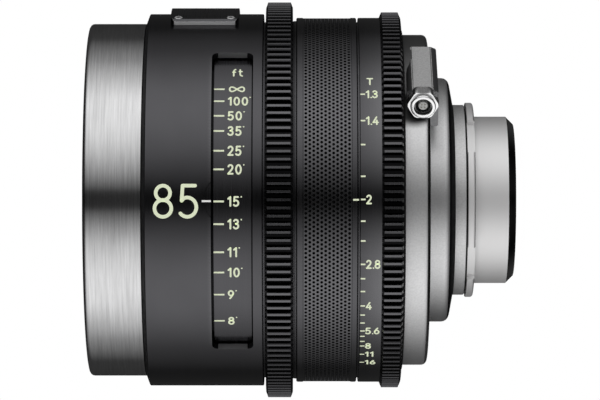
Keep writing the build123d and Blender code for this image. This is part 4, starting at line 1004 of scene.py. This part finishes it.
def at_pixel(column, radius, middle=300, focal_pixels=4067):
    """The place along the axis that shows at a column of the picture, at this radius in front."""
    return (column - middle) * (camera_off - radius) / focal_pixels - camera_ahead


def printed(bm, radius, degrees_up, paint_height=0.03):
    """Gives a flat mark the paint's thickness and wraps it on a drum."""
    thicken(bm, 0.0, paint_height)
    wrap_round(bm, radius)
    return spun(bm, radians(-degrees_up))


def lettered(words, height, pen, column, degrees_up, radius, gap=0.72):
    """Words in round pen strokes, in mm, on a drum, their left edge at a column of the picture."""
    bm = bmesh.new()
    at, box = pen / 2, height - pen
    for letter in words:
        width, paths = letterforms[letter]
        if letter in ".'":
            at -= gap * 0.3
        for path in paths:
            pen_line(bm, [(at + px * box, (py - 0.5) * box) for px, py in path],
                     pen if letter != "'" else pen * 0.85)
        at += width * box + pen + gap
        if letter == ".":
            at -= gap * 0.8
    left = Matrix.Translation((at_pixel(column, radius), 0, 0))
    return moved(printed(bm, radius, degrees_up), left)


def stroke(first, last, degrees_up, radius, thickness):
    """A printed line along the axis between two columns of the picture, on a drum."""
    low, high = at_pixel(first, radius), at_pixel(last, radius)
    half = thickness / 2
    return printed(flat_outline([(low, -half), (high, -half), (high, half), (low, half)]),
                   radius, degrees_up)


def gathered(pieces):
    """Several bmeshes as one."""
    whole = bmesh.new()
    for part in pieces:
        mesh = meshed(part, "part")
        whole.from_mesh(mesh)
        bpy.data.meshes.remove(mesh)
    return whole


# degrees above the index line, and the words there
focus_scale = ((37.2, "∞"), (32.6, "100"), (27.3, "50"), (22.1, "35"), (15.6, "25"), (9.7, "20"),
               (-0.25, "15"), (-7.3, "13"), (-16.2, "11"), (-22.9, "10"), (-30.7, "9"),
               (-41.0, "8"))
iris_scale = ((34.2, "1.3"), (24.9, "1.4"), (17.1, ""), (7.3, ""), (0.3, "2"), (-6.25, ""),
              (-12.3, ""), (-19.7, "2.8"), (-24.4, ""), (-28.8, ""), (-34.0, "4"), (-37.5, ""),
              (-40.7, ""), (-44.1, "5.6"), (-46.5, ""), (-48.9, ""), (-51.2, "8"), (-55.7, "11"),
              (-60.7, "16"))
focus_lean, iris_lean, focal_lean, index_lean = 0.25, 0.2, -0.42, -0.4
focus_marks = [lettered("ft", 3.4, 0.5, 231.2, 43.9, drum_radius, 0.6)]
for angle, words in focus_scale:
    angle -= focus_lean
    focus_marks.append(stroke(213.4, 223.9, angle, drum_radius, 0.56))
    if words == "∞":
        focus_marks.append(lettered(words, 2.6, 0.52, 228.2, angle, drum_radius))
    else:
        focus_marks.append(lettered(words + "'", 3.3, 0.56, 227.3, angle, drum_radius, 0.5))
iris_marks = [lettered("T", 2.9, 0.52, 367.2, 38.9, barrel_radius)]
for angle, words in iris_scale:
    angle -= iris_lean
    iris_marks.append(stroke(361.0, 365.6, angle, barrel_radius, 0.5))
    if words:
        iris_marks.append(lettered(words, 3.0, 0.52, 366.2, angle, barrel_radius, 0.42))
fixed_marks = [lettered("8", 10.8, 1.12, 152.6, focal_lean, cover_radius),
               lettered("5", 10.8, 1.12, 178.9, focal_lean, cover_radius),
               stroke(353.2, 359, 0.0, barrel_radius, 0.55)]
index_marks = [stroke(201.7, 205.9, index_lean, cover_radius, 0.58),
               stroke(205.5, 210.8, index_lean, cover_radius - notch_depth, 0.58)]
luminous_paint = mark_paint("luminous_mark_paint", (0.84, 0.92, 0.64), (0.94, 1.0, 0.76),
                            (0.93, 1.0, 0.72))
# Painted glow: the white index paint glows as well as the luminous paint.
white_paint = mark_paint("white_mark_paint", (0.9, 0.9, 0.88), (0.9, 0.9, 0.88), (1, 1, 1))
for name, marks, body, paint in (("distance_scale", focus_marks, "focus_ring", luminous_paint),
                                 ("stop_scale", iris_marks, "iris_ring", luminous_paint),
                                 ("fixed_marks", fixed_marks, "barrel", luminous_paint),
                                 ("index_line", index_marks, "barrel", white_paint)):
    finished(gathered(marks), name, paint, body)

# Rear barrel: a satin silver cup. A flat-topped boss stands out of its side and carries the
# data socket on its end.


def satin_silver(name, color, roughness):
    """Bare aluminium, finely blasted: a faint grain over soft lathe lines."""
    material = turned_metal(name, color, roughness, 0.05, 0.0000006, pitch=11000, tone=0.06,
                            anisotropic=0.35)
    nt = material.node_tree
    grain = noise(nt, object_place(nt), 1900, 3)
    return shaded_by(material, ranged(nt, grain, noise_low, noise_high, 0.88))


def shaded_near(material, place, near, far, depth):
    """Paints a soft shadow into a finish's colour within far of a place, in mm, such as falls under
    a part.
    """
    nt = material.node_tree
    off = vectors_worked(nt, "DISTANCE", object_place(nt), [c * mm for c in place])["Value"]
    return shaded_by(material, ranged(nt, off, near * mm, far * mm, depth,
                                      interpolation_type="SMOOTHSTEP"))


def boss_frame(along, drop=0.0):
    """The place and turn of the socket's own axes: Z out along it, Y out of the flat pad."""
    pad = Vector((0, cos(radians(120)), sin(radians(120))))
    out = Vector((0, cos(radians(210)), sin(radians(210))))
    turn = Matrix((Vector((1, 0, 0)), pad, out)).transposed().to_4x4()
    return Matrix.Translation(
        Vector((-17.35, 0, 0)) + pad * (rear_radius - drop) + out * along) @ turn


def end_faced(piece, cut, least=0.45):
    """Gives the faces that look back along the axis another finish, such as the cleaner cut of a
    lathe tool.
    """
    return painted(piece, cut, lambda face: face.normal.x > least)


rear_radius, rear_core = 53.5, 50.9
rear_silver = satin_silver("rear_silver", (0.88, 0.88, 0.885), 0.46)
# Painted shadow under the data socket, and painted shade on the cup beside the boss.
shaded_near(rear_silver, (-20.0, -45.1, 28.8), 4.5, 8.0, 0.1)
shaded_near(rear_silver, (-22.5, -28.0, 45.6), 19.0, 28.0, 0.3)
end_steel = turned_metal("turned_end_faces", (0.62, 0.62, 0.63), 0.13, 0.05, pitch=7000, tone=0.05)
boss_silver = satin_silver("boss_silver", (1.0, 1.0, 1.0), 0.85)
# Painted shade: the boss's bevels take this dark copy of its silver.
bevel_silver = satin_silver("bevel_silver", (0.22, 0.22, 0.225), 0.34)
rear_cup = turned([
    (-22.95, rear_core), (-17.3, rear_core), (-17.3, 34.0), (-14.9, 34.0),
    (-14.9, rear_radius, 1.7), (-22.95, rear_radius, 0.25)], segments=360)
rear_barrel = finished(rear_cup, "silver_rear_barrel", rear_silver)
true_rounds(rear_barrel)
settled(rear_barrel, "barrel", ["rear_barrel"])
end_faced(rear_barrel, end_steel)
boss = flat_outline([(-3.1, 0), (3.1, 0), (4.95, -0.8), (4.95, -13), (-4.95, -13), (-4.95, -0.8)])
thicken(boss, -5.2, 24.0)
bmesh.ops.bevel(boss, geom=boss.edges[:], offset=0.22, segments=2, affect="EDGES")
moved(boss, boss_frame(0))
core = turned([(-25.0, 0.0), (-17.3, 0.0), (-17.3, rear_core),
               (-25.0, rear_core)], segments=180)
boss_piece = finished(carved(boss, [core]), "socket_boss", boss_silver, "barrel",
                      sharp=40)
pad_out = (boss_frame(0).to_3x3() @ Vector((0, 1, 0))).normalized()
# Painted shade: the boss's bevels are given the dark copy of its silver.
painted(boss_piece, bevel_silver, lambda face: face.normal.dot(pad_out) < 0.985)
screws(cap_at(socket_cap(1.5, 1.0, 0.75), 46.0, swing=pi / 2), "rear_barrel_caps", screw_black,
       "dark_steel", ["rear_barrel_screws"],
       **{"Per turn": 6, "First place": -15.85 * mm, "First angle": radians(-45)})

# Data socket: a bright chromed shell and hexagon nut round a black insert, with four dull
# gilt contacts in a pale post.


def on_boss(bm, along=24.0):
    """Stands a bmesh drawn along Z in mm on the end of the boss."""
    return moved(bm, boss_frame(along, 3.2))


def tube_piece(rows, segments=64):
    """A closed outline of (height, radius) rows in mm spun round Z."""
    bm = bmesh.new()
    turns = [2 * pi * n / segments for n in range(segments)]
    bridged(bm, [[bm.verts.new((r * cos(turn), r * sin(turn), z)) for z, r in rows]
                 for turn in turns], joined=True)
    return closed_shell(bm)


chrome = turned_metal("socket_chrome", (0.98, 0.98, 0.985), 0.25, 0.04, pitch=3000, tone=0.04)
insert_black = anodised("insert_black", (0.004, 0.004, 0.004), 0.45, specular=0.3)
post_plastic = anodised("post_plastic", (0.84, 0.84, 0.82), 0.4, tone=0.06)
contact_gilt = turned_metal("contact_gilt", (0.42, 0.40, 0.36), 0.3, 0.05, pitch=2000)
shell = tube_piece([
    (-9, 2.2), (2.3, 2.2), (2.3, 2.8), (5.35, 2.8), (5.5, 2.95), (5.5, 3.65), (5.4, 3.85),
    (5.2, 3.97), (5.0, 4.0), (4.2, 4.0), (4.2, 2.5), (-9, 2.5)])
finished(on_boss(shell), "socket_shell_skin", chrome, "barrel", ["socket_shell"],
         sharp=35)
nut = bmesh.new()
nut_points, nut_height, nut_flat, nut_corner, nut_bore = 72, 4.2, 4.4, 5.02, 2.55
nut_rows = []
for z, ease in ((0.0, 0.25), (0.35, 0.0), (nut_height - 0.25, 0.0), (nut_height, 0.25)):
    row = []
    for n in range(nut_points):
        angle = 2 * pi * n / nut_points
        reach = min(nut_flat / cos(hexagon_turn(angle)), nut_corner - ease)
        row.append(nut.verts.new((reach * cos(angle + pi / 6), reach * sin(angle + pi / 6), z)))
    nut_rows.append(row)
nut_rows += [circled(nut, nut_bore, z, nut_points, pi / 6) for z in (nut_height, 0.0)]
bridged(nut, nut_rows, joined=True)
bmesh.ops.recalc_face_normals(nut, faces=nut.faces)
finished(on_boss(nut), "socket_hexagon_nut", chrome, "barrel", ["socket_nut"], sharp=28)
insert = tube_piece([(-9, 0.0), (2.45, 0.0), (2.45, 2.66), (5.2, 2.7), (5.2, 2.78), (2.34, 2.78),
                     (2.34, 2.18), (-9, 2.18)])
finished(on_boss(insert), "socket_insert_skin", insert_black, "barrel",
         ["socket_insert"])
post = tube_piece([(2.3, 0.0), (4.55, 0.0), (4.55, 1.3), (4.4, 1.45), (2.3, 1.45)], segments=48)
finished(on_boss(post), "contact_post_skin", post_plastic, "barrel",
         ["contact_post"])
contacts = []
contact_reach = 0.72
for number in range(4):
    pin = tube_piece([(4.5, 0.0), (4.85, 0.0), (4.85, 0.2), (4.75, 0.26), (4.5, 0.26)], segments=20)
    turn = radians(45 + 90 * number)
    place = Matrix.Translation((contact_reach * cos(turn), contact_reach * sin(turn), 0))
    contacts.append(on_boss(moved(pin, place)))
finished(gathered(contacts), "socket_contact_pins", contact_gilt, "barrel",
         ["socket_contacts"])

# Stepped rear cone and camera mount: silver steps down to a hardened steel flange with four
# lugs, eight flush screws and the polished stub that enters the camera.
# Painted shade: the step's faces nearer the axis than 30.5 mm, by the mount flange, are darkened
# nearly to black.
step_silver = shade_painted_below(satin_silver("step_silver", (0.86, 0.86, 0.865), 0.44), 30.5, 0.4,
                             0.04)
cone_black = anodised("cone_black", (0.010, 0.010, 0.011), 0.8, specular=0.05)
# Painted light: a lighter copy of the step's silver for its outer rim.
step_rim_silver = satin_silver("step_rim_silver", (1.0, 1.0, 1.0), 0.55)
mount_steel = turned_metal("mount_steel", (1.0, 0.99, 0.99), 0.57, 0.04, pitch=8000, tone=0.03)
step = turned([
    (-14.9, 34.0), (-9.5, 34.0), (-9.5, 27.42), (-2.4, 27.42), (-2.4, 29.6),
    (-2.9, 29.6), (-2.9, 30.8, 0.25), (-6.5, 30.8, 0.3), (-8.1, 39.5, 2.4), (-14.9, 39.5, 0.15)],
    segments=360)
stepped = finished(step, "stepped_cone", step_silver, "barrel",
                   ["mount_step_ring"])
# The step's faces that look back along the axis are near black.
end_faced(stepped, cone_black, 0.62)
# Painted light: the step's outer rim takes a lighter copy of its silver.
painted(stepped, step_rim_silver,
        lambda face: (face.center.x > -6.55 * mm and abs(face.normal.x) < 0.3
                      and face.center.yz.length > 30.5 * mm))
flange_lug = 31.5
flange = turned([
    (-8.0, 24.2), (13.1, 24.2, 0.1), (13.1, 24.59, 0.15), (10.7, 26.99, 0.2), (0.0, 26.99),
    (0.0, flange_lug, 0.75), (-2.4, flange_lug, 0.2), (-2.4, 27.4), (-8.0, 27.4)],
    segments=360)
lug_gaps = []
for start in (29.0, 126.0, 209.0, 306.0):
    gap = bmesh.new()
    outline = ((-3.0, 29.9), (1.0, 29.9), (1.0, 33.0), (-3.0, 33.0))
    turns = [radians(start + degree) for degree in range(26)]
    rings = [[gap.verts.new((x, r * cos(turn), r * sin(turn))) for x, r in outline]
             for turn in turns]
    bridged(gap, rings)
    gap.faces.new(rings[0])
    gap.faces.new(rings[-1][::-1])
    bmesh.ops.recalc_face_normals(gap, faces=gap.faces)
    lug_gaps.append(gap)
flange = finished(carved(flange, lug_gaps), "lugged_mount_flange", mount_steel)
end_faced(flange, end_steel, 0.6)
true_rounds(flange)
settled(flange, "barrel", ["mount_flange"])
for number, spread in enumerate((-17.0, 17.0)):
    cap = cap_at(socket_cap(1.3, 0.9, 0.6), 29.0, swing=pi / 2)
    screws(cap, f"mount_caps_{number + 1}", mount_steel, "mount_steel",
           ["mount_screws"] if number == 0 else (),
           **{"Per turn": 4, "First place": -0.82 * mm, "First angle": radians(spread)})
baffle_end = turned([
    (8.1, 20.4, 0.1), (9.2, 21.0, 0.05), (9.3, 21.6, 0.05), (10.3, 21.9, 0.05), (10.4, 22.5, 0.05),
    (11.4, 22.8, 0.05), (11.5, 23.4, 0.05), (12.7, 23.78, 0.1), (12.7, 24.18), (8.1, 24.18)])
finished(baffle_end, "stub_baffle_skin", baffle_black, "barrel", ["stub_baffle"])

# Inner works: cells, tubes, bearings and blades that show only through the glass, the slots or
# the gaps between the rings.
inner_black = anodised("inner_black", (0.006, 0.006, 0.006), 0.6, specular=0.2)
finishes = {
    "black_baffle": inner_black,
    "plain_aluminium": turned_metal("inner_silver", (0.5, 0.5, 0.51), 0.35, 0.06, pitch=5000),
    "bearing_brass": turned_metal("bearing_brass", (0.62, 0.44, 0.2), 0.3, 0.06, pitch=4000),
    "blade_steel": turned_metal("blade_steel", (0.07, 0.07, 0.075), 0.35, 0.05, pitch=400),
    "circuit_green": anodised("flexible_circuit", (0.03, 0.12, 0.05), 0.4),
    "dark_steel": screw_black}
# Painted shade: the focus thrust ring and the iris bearing take the inner black in place of their
# own finish.
shaded = {"focus_thrust_ring": inner_black, "iris_bearing": inner_black}
for entry in frame["record"]["subparts"]:
    finish = shaded.get(entry["node"], finishes.get(entry["material_slot"]))
    if finish:
        for socket in nodes[entry["node"]].material_slots:
            socket.material = finish
